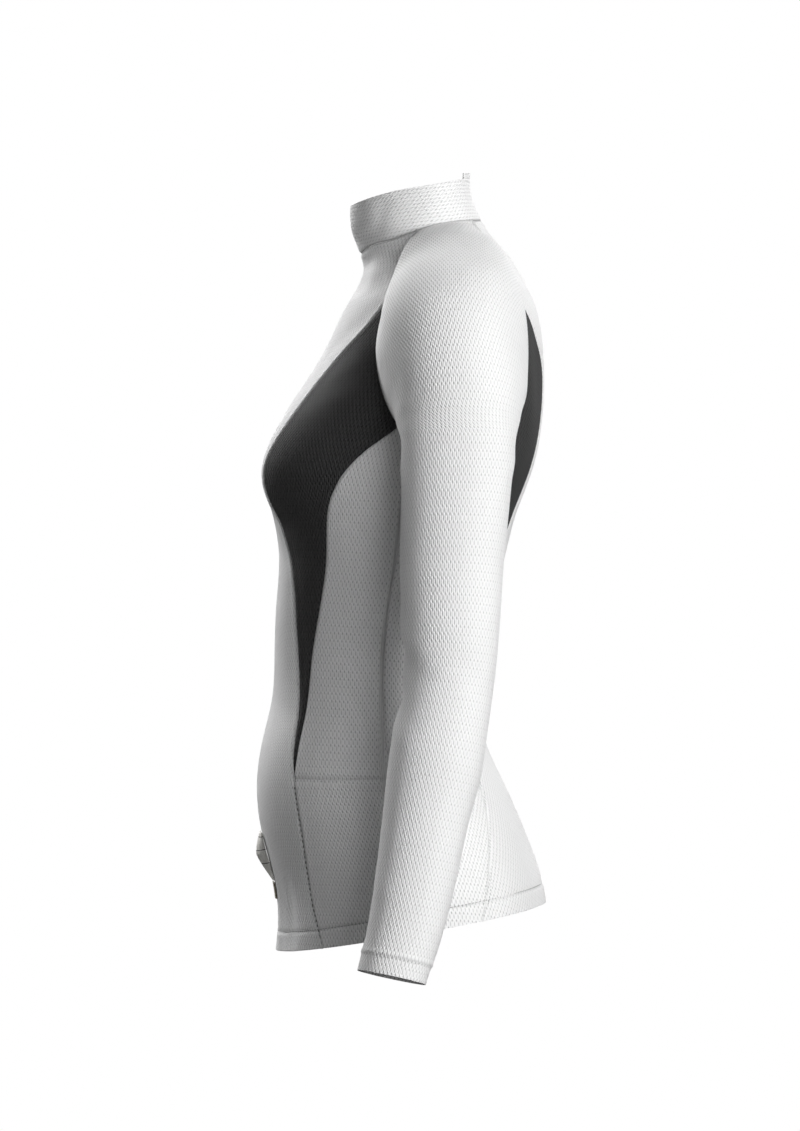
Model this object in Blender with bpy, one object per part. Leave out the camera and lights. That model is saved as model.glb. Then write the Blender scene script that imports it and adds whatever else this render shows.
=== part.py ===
"""Racing base layer top: a fitted long-sleeved top in honeycomb knit, with a stand-up collar.

Metres, +Z up. The front faces -Y and the wearer's left is +X. The origin is the middle of the
neck base, where the worn top is held. Every panel is a cloth wall cut from one body form, and the
sleeves are rings along the arm, so that the panels meet at shared seam lines.
"""

import math

import bmesh
import bpy
import numpy as np
from mathutils import Vector

MM = 0.001
NAME = "racing_base_layer_top"

# Cloth and seams, in mm
WALL = 1.5
COLLAR_WALL = 2.0
TRIM_WALL = 1.0
SEAM_GAP = 0.3
EDGE_TRIM = 0.5
LAY_GAP = 0.9

# Rows and columns of the cut pieces
NECK_ROWS = 5
ARMHOLE_ROWS = 7
EDGE_ROWS = 16
SKIRT_ROWS = 7
SLEEVE_ROWS = 17
SLEEVE_COLUMNS = 16
CENTRE_COLUMNS = 12
CONTOUR_COLUMNS = 5
SIDE_COLUMNS = 5
COLLAR_COLUMNS = 36
COLLAR_ROWS = 3
LABEL_CELLS = 8

# Body form, in mm: how far front and back lie from the middle, where the side is, the half width of
# the front and the back half, and how square each half is (2 is an ellipse)
BODY = (
    # height, front, back, side, front_half, back_half, front_square, back_square
    (20, -54, 52, 0, 50, 48, 2.0, 2.1),
    (0, -54, 64, 3, 57, 80, 2.0, 2.2),
    (-15, -54, 77, 7, 68, 105, 2.0, 2.3),
    (-30, -51.5, 86.5, 10, 84, 126, 2.0, 2.5),
    (-56, -63.5, 99.5, 10, 109, 148, 2.0, 2.7),
    (-85, -77.8, 107.5, 8, 124.5, 157, 2.1, 2.9),
    (-117, -94.8, 110, 5, 131, 159, 2.3, 3.0),
    (-150, -116, 109.5, 3, 140, 157, 2.5, 3.0),
    (-185, -133.5, 105.5, 0, 149.5, 151, 2.6, 2.9),
    (-215, -139, 98, -12, 150.5, 150.5, 2.6, 2.8),
    (-250, -133, 85.3, -20, 145, 145, 2.5, 2.6),
    (-289, -127.5, 75, -25, 137, 137, 2.4, 2.5),
    (-335, -130.5, 60, -32, 127.5, 127.5, 2.35, 2.35),
    (-376, -131.7, 51.5, -36, 124, 124, 2.3, 2.3),
    (-415, -134, 51, -37, 129, 129, 2.3, 2.3),
    (-454, -142.8, 58.3, -36, 141, 141, 2.3, 2.3),
    (-490, -147.6, 74, -32, 153, 153, 2.3, 2.3),
    (-534, -143.6, 93, -20, 162, 162, 2.3, 2.3),
    (-577, -132, 107.5, -12, 167, 167, 2.3, 2.3),
    (-610, -128.5, 112.5, -8, 169, 169, 2.3, 2.3),
    (-650, -131.5, 114, -8, 170, 170, 2.3, 2.3),
)

# Bust shaping of the cut, in mm
BUST_RISE = 10
BUST_OUT = 80
BUST_HEIGHT = -218
BUST_WIDTH = 42
BUST_ABOVE = 62
BUST_BELOW = 38

# Hem: a plane through the centre front and the centre back, in mm
HEM_FRONT_Y = -130
HEM_FRONT_HEIGHT = -640
HEM_BACK_Y = 113
HEM_BACK_HEIGHT = -597.4

# Neck seam, in mm
NECK_HALF_WIDTH = 55
NECK_FRONT = 54
NECK_BACK = 54.6
NECK_SQUARE = 2.1
NECK_EASE = 45
NECK_HEIGHTS = (
    # y, height
    (-54, -15.3),
    (-46, -10),
    (-33, -6.5),
    (-18, -2.3),
    (-2, 3),
    (14, 7),
    (30, 10.5),
    (46, 13),
    (54.6, 14.3),
)

# Collar top edge, in mm, and the tab at its back, whose sides are at TAB_TURN degrees round
COLLAR_HALF_WIDTH = 52
COLLAR_FRONT = 63.9
COLLAR_BACK = 44
COLLAR_FRONT_SWELL = 3.5
COLLAR_BACK_HOLLOW = 3
TAB_TURN = 151
TAB_HEIGHT = 5.3
COLLAR_HEIGHTS = (
    # y, height
    (-63.9, 27.9),
    (-50, 32.3),
    (-36, 36),
    (-18, 40),
    (1, 43),
    (19, 46.2),
    (36, 50),
    (44, 52),
)

# Seams on the body form: degrees round from the centre front, and height in mm. A height of None
# is the neck seam's at the top of a seam and the hem's at its foot.
FRONT_RAGLAN_NECK = (
    # around, height
    (86, None),
    (73, -16),
    (63.5, -33),
    (60, -46),
    (58.8, -60),
)
FRONT_RAGLAN_ARM = (
    # around, height
    (58.8, -60),
    (58.8, -74),
    (60, -89),
    (62.8, -105),
    (66.4, -121),
    (71.8, -141),
    (77.6, -162),
    (81, -172),
)
FRONT_ARMHOLE = (
    # around, height
    (81, -172),
    (86, -181),
    (92, -187),
    (94, -188),
)
BACK_RAGLAN_NECK = (
    # around, height
    (143.5, None),
    (146, -3),
    (147, -20),
    (145, -37),
    (141, -64),
)
BACK_RAGLAN_ARM = (
    # around, height
    (141, -64),
    (139, -90),
    (138, -115),
    (137, -138),
    (134.5, -156),
    (128, -169),
)
BACK_ARMHOLE = (
    # around, height
    (128, -169),
    (118, -179),
    (106, -186),
    (94, -188),
)
FRONT_CONTOUR_FORE = (
    # around, height
    (58.8, -60),
    (54, -71),
    (46.5, -88),
    (40.8, -101),
    (36.6, -116),
    (34.4, -133),
    (33.8, -150),
    (32, -176),
    (28.8, -204),
    (28.4, -219),
    (28, -235),
    (27.6, -250),
    (28.6, -265),
    (33, -292),
    (37.2, -315),
    (40, -340),
    (42.4, -370),
    (45, -412),
    (46.6, -445),
    (47.3, -465),
    (48.2, -484),
)
FRONT_CONTOUR_REAR = (
    # around, height
    (81, -172),
    (74.4, -186),
    (69.8, -197.5),
    (65.6, -213),
    (61.8, -231),
    (58.6, -250),
    (56.8, -276),
    (56.3, -305),
    (54.6, -346),
    (52, -378),
    (50.5, -415),
    (49.6, -445),
    (49, -465),
    (48.2, -484),
)
FRONT_PRINCESS = (
    # around, height
    (48.2, -484),
    (49, -510),
    (48.4, -538),
    (46.8, -560),
    (46, -585),
    (47.4, -606),
    (51.5, None),
)
BACK_CONTOUR_REAR = (
    # around, height
    (141, -64),
    (144.7, -75),
    (148.5, -92),
    (152.6, -106),
    (156, -121),
    (158.5, -145),
    (159.2, -172),
    (158.6, -205),
    (158.4, -236),
    (156, -265),
    (151.5, -300),
    (147.5, -345),
    (144.5, -395),
    (141.6, -445),
    (140.4, -465),
    (139, -484),
)
BACK_CONTOUR_FORE = (
    # around, height
    (128, -169),
    (121, -186),
    (117.5, -205),
    (116.5, -235),
    (118.5, -275),
    (123, -320),
    (128, -370),
    (133, -420),
    (137, -462),
    (139, -484),
)
BACK_PRINCESS = (
    # around, height
    (139, -484),
    (138.6, -500),
    (135.6, -518),
    (132, -536),
    (127.6, -560),
    (122.6, -590),
    (119.6, None),
)
SIDE_SEAM_ABOVE = (
    # around, height
    (94, -188),
    (91.5, -225),
    (90.8, -265),
    (91, -310),
    (91.5, -360),
    (92, -415),
    (93, -462),
    (93.6, -483),
)
SIDE_SEAM_BELOW = (
    # around, height
    (93.6, -483),
    (94.6, -530),
    (95, -580),
    (95, None),
)

# Sleeve rings, in mm: distance along the sleeve, centre, how far the outward axis is lifted from
# level (degrees), half depth front to back, and half width. The ring at 279 passes the underarm.
SLEEVE = (
    # along, centre_x, centre_y, centre_z, lift, half_depth, half_width
    (0, 45, 23, 8, 40, 24, 10),
    (32, 62, 26, -15, 37, 38, 27),
    (68, 82, 30, -39, 36, 50, 42),
    (102, 100, 29, -62, 36, 59, 57),
    (135, 116, 27, -93, 35, 64, 71),
    (182, 138, 29, -131, 28, 62, 73),
    (215, 158, 31, -155, 21, 57, 60),
    (245, 175, 32, -170, 15, 52.5, 46),
    (262, 184, 32, -178, 11, 50.5, 39),
    (279, 189.2, 32, -185.5, 8, 49, 35),
    (323, 192, 30, -230, 7.5, 46.5, 37.5),
    (390, 196.5, 26, -297, 7, 44, 39.5),
    (458, 204, 25, -364, 7, 40.3, 37.5),
    (494, 208, 23.5, -400, 7, 37.8, 36),
    (532, 212, 17, -437, 7, 39, 36.5),
    (565, 215, 11.5, -470, 7, 39.6, 37),
    (596, 218, 6, -500, 6.5, 37.6, 35.5),
    (637, 222.5, -1, -541, 6.5, 35, 33.5),
    (688, 228, -10, -590, 6.5, 32.3, 30.5),
    (752, 234.5, -26.3, -652, 6.5, 29.5, 28.5),
)
RING_SQUARE = 2.15
TIP_ALONG = 102
CORNER_ALONG = 231
UNDERARM_ALONG = 279
CUFF_ALONG = 752
SHOULDER_EASE = 40
SEAM_FADE = 14
SEAM_EASES = (
    # along, share of the ring over which it is drawn onto a seam
    (0, 0.42),
    (102, 0.3),
    (231, 0.2),
    (279, 0.12),
)
FOREARM_TILTS = (
    # along, fall of the ring's back below its front, in degrees
    (0, 0),
    (279, 0),
    (390, 1.5),
    (494, 6),
    (565, 10.5),
    (637, 11.5),
    (752, 12),
)

# Care label and size patch, sewn to the centre front above the hem. Degrees round and mm.
LABEL_AROUND = (-1.5, 13.5)
LABEL_HEIGHTS = (-534, -577)
LABEL_BULGE = 8
LABEL_FOLD = 0.42
PATCH_AROUND = (-1, 11)
PATCH_HEIGHTS = (-579, -594)

# Finishes: colour, roughness, metallic
WHITE_KNIT = ((0.78, 0.78, 0.78), 0.72, 0.0)
BLACK_KNIT = ((0.035, 0.035, 0.037), 0.68, 0.0)
COLLAR_KNIT = ((0.8, 0.8, 0.8), 0.7, 0.0)
LABEL_CLOTH = ((0.74, 0.73, 0.68), 0.6, 0.0)
PATCH_CLOTH = ((0.3, 0.26, 0.19), 0.65, 0.0)


def clear_scene():
    for thing in list(bpy.data.objects):
        bpy.data.objects.remove(thing)


def curve_through(rows):
    """A smooth curve through table rows, whose first column rises or falls all the way."""
    table = np.array(rows, float)
    if table[0, 0] > table[-1, 0]:
        table = table[::-1]
    keys, values = table[:, 0], table[:, 1:]
    steps = np.diff(keys)
    system = np.eye(len(keys))
    turns = np.zeros_like(values)
    slopes = np.diff(values, axis=0) / steps[:, None]
    for i in range(1, len(keys) - 1):
        system[i, i - 1 : i + 2] = steps[i - 1], 2 * (steps[i - 1] + steps[i]), steps[i]
        turns[i] = 6 * (slopes[i] - slopes[i - 1])
    bends = np.linalg.solve(system, turns)

    def value(at):
        i = int(min(max(np.searchsorted(keys, at) - 1, 0), len(keys) - 2))
        low = (keys[i + 1] - at) / steps[i]
        high = 1 - low
        bend = (low**3 - low) * bends[i] + (high**3 - high) * bends[i + 1]
        return low * values[i] + high * values[i + 1] + bend * steps[i] ** 2 / 6

    return value


body_at = curve_through(BODY)
neck_height_at = curve_through(NECK_HEIGHTS)
collar_height_at = curve_through(COLLAR_HEIGHTS)
ring_at = curve_through(SLEEVE)
tilt_at = curve_through(FOREARM_TILTS)


def ease(share):
    """1 at share 0, falling smoothly to 0 at share 1 and beyond."""
    share = min(max(share, 0), 1)
    return (1 - share) ** 2 * (1 + 2 * share)


def rounded(around, square):
    """Across and forward parts of a superellipse of half size 1, at an angle from the front."""
    turn = math.radians(around)
    across, forward = abs(math.sin(turn)), abs(math.cos(turn))
    reach = (across**square + forward**square) ** (-1 / square)
    return reach * across, reach * forward


def neck_point(around):
    """The neck seam, on the wearer's left for angles above 0."""
    across, forward = rounded(abs(around), NECK_SQUARE)
    y = -NECK_FRONT * forward if abs(around) <= 90 else NECK_BACK * forward
    side = math.copysign(1, around)
    return Vector((side * NECK_HALF_WIDTH * across, y, float(neck_height_at(y)[0])))


def plain_body_point(around, height):
    front, back, side, front_half, back_half, front_square, back_square = body_at(height)
    if around <= 90:
        across, forward = rounded(around, front_square)
        x, y = front_half * across, side - (side - front) * forward
    else:
        across, forward = rounded(around, back_square)
        x, y = back_half * across, side + (back - side) * forward
        return Vector((x, y, height))
    spread = BUST_ABOVE if height > BUST_HEIGHT else BUST_BELOW
    rise = BUST_RISE * math.exp(-(((x - BUST_OUT) / BUST_WIDTH) ** 2))
    rise *= math.exp(-(((height - BUST_HEIGHT) / spread) ** 2)) * min(3 * forward, 1)
    return Vector((x, y - rise, height))


def body_point(around, height):
    """A point of the body form, eased onto the neck seam near the neck."""
    neck = neck_point(abs(around))
    seam = plain_body_point(abs(around), neck.z)
    point = plain_body_point(abs(around), height)
    point += (neck - seam) * ease((neck.z - height) / NECK_EASE)
    point.x *= math.copysign(1, around)
    return point


def hem_height(around):
    height = HEM_FRONT_HEIGHT
    slope = (HEM_BACK_HEIGHT - HEM_FRONT_HEIGHT) / (HEM_BACK_Y - HEM_FRONT_Y)
    for _ in range(4):
        y = plain_body_point(abs(around), height).y
        height = HEM_FRONT_HEIGHT + (y - HEM_FRONT_Y) * slope
    return height


def seam_places(rows, count):
    """Places (around, height) evenly spaced along a seam, count + 1 of them."""
    places = []
    for i, (around, height) in enumerate(rows):
        if height is None:
            height = neck_point(around).z if i == 0 else hem_height(around)
        places.append((around, height))
    along = curve_through([(i, *place) for i, place in enumerate(places)])
    fine = [along(t) for t in np.linspace(0, len(places) - 1, 40 * len(places))]
    points = np.array([body_point(*place) for place in fine])
    lengths = np.concatenate(([0], np.cumsum(np.linalg.norm(np.diff(points, axis=0), axis=1))))
    wanted = np.linspace(0, lengths[-1], count + 1)
    fine = np.array(fine)
    return np.stack([np.interp(wanted, lengths, fine[:, i]) for i in (0, 1)], axis=1)


def hem_places(start, end):
    """Places along the hem over a side panel."""
    return np.array([(a, hem_height(a)) for a in np.linspace(start, end, SIDE_COLUMNS + 1)])


def joined(*runs):
    """Runs of places that follow each other, with each shared place kept once."""
    return np.concatenate([runs[0], *(run[1:] for run in runs[1:])])


def straight(start, end, count):
    return np.linspace(start, end, count + 1)


def patch_places(left, right, top, bottom):
    """Places across a panel from its four edges, a Coons patch in degrees and heights."""
    rows, columns = len(left), len(top)
    places = np.zeros((rows, columns, 2))
    for i in range(rows):
        down = i / (rows - 1)
        for j in range(columns):
            over = j / (columns - 1)
            sides = (1 - over) * left[i] + over * right[i]
            ends = (1 - down) * top[j] + down * bottom[j]
            corners = (1 - down) * ((1 - over) * top[0] + over * top[-1])
            corners += down * ((1 - over) * bottom[0] + over * bottom[-1])
            places[i, j] = sides + ends - corners
    return places


def on_body(places):
    return [[body_point(*place) for place in row] for row in places]


def new_material(name, finish):
    colour, roughness, metallic = finish
    material = bpy.data.materials.new(name)
    material.use_nodes = True
    shader = material.node_tree.nodes["Principled BSDF"]
    shader.inputs["Base Color"].default_value = (*colour, 1)
    shader.inputs["Roughness"].default_value = roughness
    shader.inputs["Metallic"].default_value = metallic
    return material


def sheet_mesh(points, closed_from=None, extra_rows=None):
    """A bmesh grid laid through rows of points in mm. From the row closed_from on, its last column
    meets its first. extra_rows adds faces above the top row, for some of its columns."""
    rows, columns = len(points), len(points[0])
    bm = bmesh.new()
    bmesh.ops.create_grid(bm, x_segments=columns - 1, y_segments=rows - 1, size=0.5)
    for vert in bm.verts:
        column = round((vert.co.x + 0.5) * (columns - 1))
        row = round((0.5 - vert.co.y) * (rows - 1))
        vert.co = points[row][column]
    if extra_rows:
        raise_tab(bm, points[0], extra_rows)
    if closed_from is not None:
        seam = {tuple(points[row][0]) for row in range(closed_from, rows)}
        merging = [vert for vert in bm.verts if near_any(vert.co, seam)]
        bmesh.ops.remove_doubles(bm, verts=merging, dist=0.01)
    return bm


def near_any(place, others):
    return any((Vector(other) - place).length < 0.01 for other in others)


def raise_tab(bm, top_row, lifts):
    """Extrudes the top edges whose two ends have a lift, and moves the new points up by it."""
    lifted = {tuple(point): lift for point, lift in zip(top_row, lifts) if lift}
    edges = []
    for edge in bm.edges:
        if edge.is_boundary and all(near_any(vert.co, lifted) for vert in edge.verts):
            edges.append(edge)
    made = bmesh.ops.extrude_edge_only(bm, edges=edges)
    for vert in (item for item in made["geom"] if isinstance(item, bmesh.types.BMVert)):
        nearest = min(lifted, key=lambda point: (Vector(point) - vert.co).length)
        vert.co += Vector((0, 0, lifted[nearest]))


def inside_directions(bm):
    """For each boundary point, the unit direction into the sheet, square to its edge."""
    found = {}
    for vert in bm.verts:
        edges = [edge for edge in vert.link_edges if edge.is_boundary]
        if len(edges) < 2:
            continue
        into = Vector()
        for edge in edges:
            face = edge.link_faces[0]
            along = (edge.verts[1].co - edge.verts[0].co).normalized()
            inward = face.calc_center_median() - edge.verts[0].co
            inward -= along * inward.dot(along)
            into += inward.normalized()
        across = edges[0].link_faces[0].calc_center_median() - edges[0].verts[0].co
        square = into.normalized() if into.length > 0.2 else across.normalized()
        sharpness = max(into.length / len(edges), 0.5)
        found[vert.index] = square / sharpness
    return found


def cloth_wall(bm, thickness, outward):
    """Trims the sheet's seams back by half a gap, then gives it its thickness on the inside."""
    bm.verts.index_update()
    bmesh.ops.recalc_face_normals(bm, faces=bm.faces)
    sample = max(bm.faces, key=lambda face: face.calc_area())
    if sample.normal.dot(outward(sample.calc_center_median())) < 0:
        bmesh.ops.reverse_faces(bm, faces=bm.faces)
    bm.normal_update()
    into = inside_directions(bm)
    room = {}
    for vert in bm.verts:
        lengths = [edge.calc_length() for edge in vert.link_edges if not edge.is_boundary]
        room[vert.index] = min(lengths, default=EDGE_TRIM)
    for vert in bm.verts:
        if vert.index in into:
            vert.co += into[vert.index] * min(SEAM_GAP / 2, room[vert.index] / 3)
    bm.normal_update()
    inner = {}
    for vert in bm.verts:
        place = vert.co - vert.normal * thickness
        if vert.index in into:
            place += into[vert.index] * min(EDGE_TRIM, room[vert.index] / 4)
        inner[tuple(round(value, 4) for value in vert.co)] = place
    geometry = [*bm.verts, *bm.edges, *bm.faces]
    made = bmesh.ops.extrude_face_region(bm, geom=geometry, use_keep_orig=True)
    for vert in (item for item in made["geom"] if isinstance(item, bmesh.types.BMVert)):
        vert.co = inner[tuple(round(value, 4) for value in vert.co)]
    bmesh.ops.recalc_face_normals(bm, faces=bm.faces)


def away_from_middle(place):
    """Outward from the body, or from the arm for a place beyond the side."""
    return Vector((place.x, place.y + 20, 0))


def add_piece(name, bm, finish, collection, side=1):
    """Makes the bmesh, in mm, an object in metres. A side of -1 mirrors it to the wearer's right."""
    bmesh.ops.scale(bm, vec=(side * MM, MM, MM), verts=bm.verts)
    bmesh.ops.recalc_face_normals(bm, faces=bm.faces)
    if bm.calc_volume(signed=True) < 0:
        bmesh.ops.reverse_faces(bm, faces=bm.faces)
    mesh = bpy.data.meshes.new(name)
    bm.to_mesh(mesh)
    bm.free()
    mesh.shade_smooth()
    mesh.set_sharp_from_angle(angle=math.radians(50))
    piece = bpy.data.objects.new(name, mesh)
    mesh.materials.append(new_material(name, finish))
    collection.objects.link(piece)
    return piece


def centre_panel(name, seam, middle_around, collection):
    """A panel across the body's middle, from the mirrored seam on the right to the one on the left."""
    half = CENTRE_COLUMNS // 2
    neck_around = seam[0][0]
    foot_around = seam[-1][0]
    neck_middle = neck_point(middle_around).z
    hem_middle = hem_height(middle_around)
    share = (seam[:, 1] - seam[-1, 1]) / (seam[0, 1] - seam[-1, 1])
    heights = hem_middle + share * (neck_middle - hem_middle)
    middle = np.stack([np.full(len(seam), middle_around), heights], axis=1)
    top = [(a, neck_point(a).z) for a in np.linspace(middle_around, neck_around, half + 1)]
    bottom = [(a, hem_height(a)) for a in np.linspace(middle_around, foot_around, half + 1)]
    left_half = on_body(patch_places(middle, seam, np.array(top), np.array(bottom)))
    points = []
    for row in left_half:
        mirrored = [Vector((-point.x, point.y, point.z)) for point in row[:0:-1]]
        row[0].x = 0
        points.append(mirrored + row)
    bm = sheet_mesh(points)
    cloth_wall(bm, WALL, away_from_middle)
    return add_piece(name, bm, WHITE_KNIT, collection)


def shortened(edge):
    """The same run of places with its end ones moved a quarter of a step in, for a blunt tip."""
    edge = edge.copy()
    edge[0] += (edge[1] - edge[0]) / 4
    edge[-1] += (edge[-2] - edge[-1]) / 4
    return edge


def contour_panel(name, fore, rear, side, collection):
    """A black panel between two edges that meet at its tips."""
    fore, rear = shortened(fore), shortened(rear)
    top = straight(fore[0], rear[0], CONTOUR_COLUMNS)
    bottom = straight(fore[-1], rear[-1], CONTOUR_COLUMNS)
    bm = sheet_mesh(on_body(patch_places(fore, rear, top, bottom)))
    cloth_wall(bm, WALL, away_from_middle)
    return add_piece(name, bm, BLACK_KNIT, collection, side)


def side_panel(name, left, right, top, bottom, side, collection):
    bm = sheet_mesh(on_body(patch_places(left, right, top, bottom)))
    cloth_wall(bm, WALL, away_from_middle)
    return add_piece(name, bm, WHITE_KNIT, collection, side)


def ring_frame(along):
    """Centre, depth axis, outward axis and half sizes of the sleeve's ring at a distance along it."""
    x, y, z, lift, half_depth, half_width = ring_at(along)
    tilt = math.radians(float(tilt_at(along)[0]))
    lift = math.radians(lift)
    depth_axis = Vector((0, math.cos(tilt), -math.sin(tilt)))
    outward = Vector((math.cos(lift), 0, math.sin(lift)))
    return Vector((x, y, z)), depth_axis, outward, half_depth, half_width


def ring_point(frame, turn):
    """Turn 0 is the ring's front, 90 degrees its outer side, 180 its back."""
    centre, depth_axis, outward, half_depth, half_width = frame
    across, forward = rounded(math.degrees(turn), RING_SQUARE)
    forward = math.copysign(forward, math.cos(turn))
    across = math.copysign(across, math.sin(turn))
    return centre - depth_axis * (half_depth * forward) + outward * (half_width * across)


def ring_turn(frame, place):
    """The turn at which a ring passes nearest to a place."""
    centre, depth_axis, outward, half_depth, half_width = frame
    offset = place - centre
    return math.atan2(offset.dot(outward) / half_width, -offset.dot(depth_axis) / half_depth)


def seam_ease(along):
    table = np.array(SEAM_EASES)
    return float(np.interp(along, table[:, 0], table[:, 1]))


def sleeve_points(front_seam, back_seam, raglan_rows):
    """Rows of points from the neck to the cuff: arcs over the shoulder, then rings down the arm."""
    rows = len(front_seam)
    nodes = (0, raglan_rows[0], raglan_rows[0] + raglan_rows[1], rows - 1)
    reaches = (0, TIP_ALONG, CORNER_ALONG, UNDERARM_ALONG)
    shares = np.linspace(0, 1, SLEEVE_COLUMNS + 1)
    neck_arounds = np.linspace(front_seam[0][0], back_seam[0][0], SLEEVE_COLUMNS + 1)
    neck_row = [neck_point(around) for around in neck_arounds]
    points, neck_offsets = [], None
    for i in range(rows):
        along = float(np.interp(i, nodes, reaches))
        frame = ring_frame(along)
        front, back = body_point(*front_seam[i]), body_point(*back_seam[i])
        row = arc_between(frame, front, back, shares, seam_ease(along))
        if i == 0:
            neck_offsets = [there - here for there, here in zip(neck_row, row)]
        fade = ease(along / SHOULDER_EASE)
        points.append([place + offset * fade for place, offset in zip(row, neck_offsets)])
    underarm = points[-1][0]
    frame = ring_frame(UNDERARM_ALONG)
    start = ring_turn(frame, underarm)
    error = underarm - ring_point(frame, start)
    width = seam_ease(UNDERARM_ALONG)
    for along in np.linspace(UNDERARM_ALONG, CUFF_ALONG, SLEEVE_ROWS + 1)[1:]:
        frame = ring_frame(float(along))
        fade = ease((along - UNDERARM_ALONG) / SEAM_FADE)
        row = []
        for share in shares:
            near_seam = max(ease(share / width), ease((1 - share) / width))
            row.append(ring_point(frame, start + share * 2 * math.pi) + error * fade * near_seam)
        row[-1] = row[0].copy()
        points.append(row)
    return points


def arc_between(frame, front, back, shares, width):
    """The ring's arc from the front seam over the outer side to the back seam. Near its ends, over
    the given share of it, it is drawn onto the seams."""
    first, last = ring_turn(frame, front), ring_turn(frame, back)
    if last <= 0:
        last += 2 * math.pi
    front_error = front - ring_point(frame, first)
    back_error = back - ring_point(frame, last)
    row = []
    for share in shares:
        place = ring_point(frame, first + share * (last - first))
        place += front_error * ease(share / width) + back_error * ease((1 - share) / width)
        row.append(place)
    return row


def sleeve(name, front_seam, back_seam, side, collection):
    raglan_rows = (NECK_ROWS, ARMHOLE_ROWS)
    points = sleeve_points(front_seam, back_seam, raglan_rows)
    bm = sheet_mesh(points, closed_from=len(front_seam) - 1)
    axis = Vector(ring_at(CUFF_ALONG)[:3])
    cloth_wall(bm, WALL, lambda place: place - Vector((0.9 * axis.x, place.y * 0.5 + 8, place.z)))
    return add_piece(name, bm, WHITE_KNIT, collection, side)


def collar_point(around, rise):
    """Rise 0 is the neck seam and 1 the collar's top edge."""
    foot = neck_point(around)
    across, forward = rounded(abs(around), NECK_SQUARE)
    front = abs(around) <= 90
    y = -COLLAR_FRONT * forward if front else COLLAR_BACK * forward
    x = math.copysign(COLLAR_HALF_WIDTH * across, around)
    top = Vector((x, y, float(collar_height_at(y)[0])))
    swell = -COLLAR_FRONT_SWELL if front else -COLLAR_BACK_HOLLOW
    bow = Vector((0, swell * forward**2 * 4 * rise * (1 - rise), 0))
    return foot.lerp(top, rise) + bow + Vector((0, 0, SEAM_GAP / 2 * (1 - rise)))


def collar(collection):
    """A standing band closed round the neck, with a low tab cut on at the centre back."""
    step = 360 / COLLAR_COLUMNS
    arounds = [-180 + step * i for i in range(COLLAR_COLUMNS + 1)]
    nearest = min(arounds, key=lambda around: abs(around - TAB_TURN))
    arounds = [math.copysign(TAB_TURN, a) if abs(abs(a) - nearest) < step / 2 else a for a in arounds]
    points = []
    for i in range(COLLAR_ROWS + 1):
        row = [collar_point(around, 1 - i / COLLAR_ROWS) for around in arounds]
        row[-1] = row[0].copy()
        points.append(row)
    lifts = [TAB_HEIGHT if abs(around) > TAB_TURN - step / 2 else 0 for around in arounds]
    bm = sheet_mesh(points, closed_from=0, extra_rows=lifts)
    bmesh.ops.remove_doubles(bm, verts=bm.verts, dist=0.01)
    cloth_wall(bm, COLLAR_WALL, lambda place: Vector((place.x, place.y + 5, 0)))
    return add_piece("collar", bm, COLLAR_KNIT, collection)


def laid_patch(name, arounds, heights, lift, finish, collection):
    """A small sheet laid on the front: lift gives its height off the cloth over its two shares."""
    points = []
    for i in range(LABEL_CELLS + 1):
        down = i / LABEL_CELLS
        row = []
        for j in range(LABEL_CELLS + 1):
            over = j / LABEL_CELLS
            around = arounds[0] + over * (arounds[1] - arounds[0])
            height = heights[0] + down * (heights[1] - heights[0])
            here = body_point(around, height)
            right = body_point(around + 0.5, height) - here
            below = body_point(around, height - 1) - here
            normal = below.cross(right).normalized()
            if normal.y > 0:
                normal = -normal
            row.append(here + normal * (LAY_GAP + TRIM_WALL + lift(over, down)))
        points.append(row)
    bm = sheet_mesh(points)
    cloth_wall(bm, TRIM_WALL, lambda place: Vector((0, -1, 0)))
    return add_piece(name, bm, finish, collection)


def label_lift(over, down):
    """A soft billow across, with one level fold."""
    fold = down / LABEL_FOLD if down < LABEL_FOLD else (1 - down) / (1 - LABEL_FOLD)
    return LABEL_BULGE * fold * math.sin(math.pi * over) ** 0.7


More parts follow.
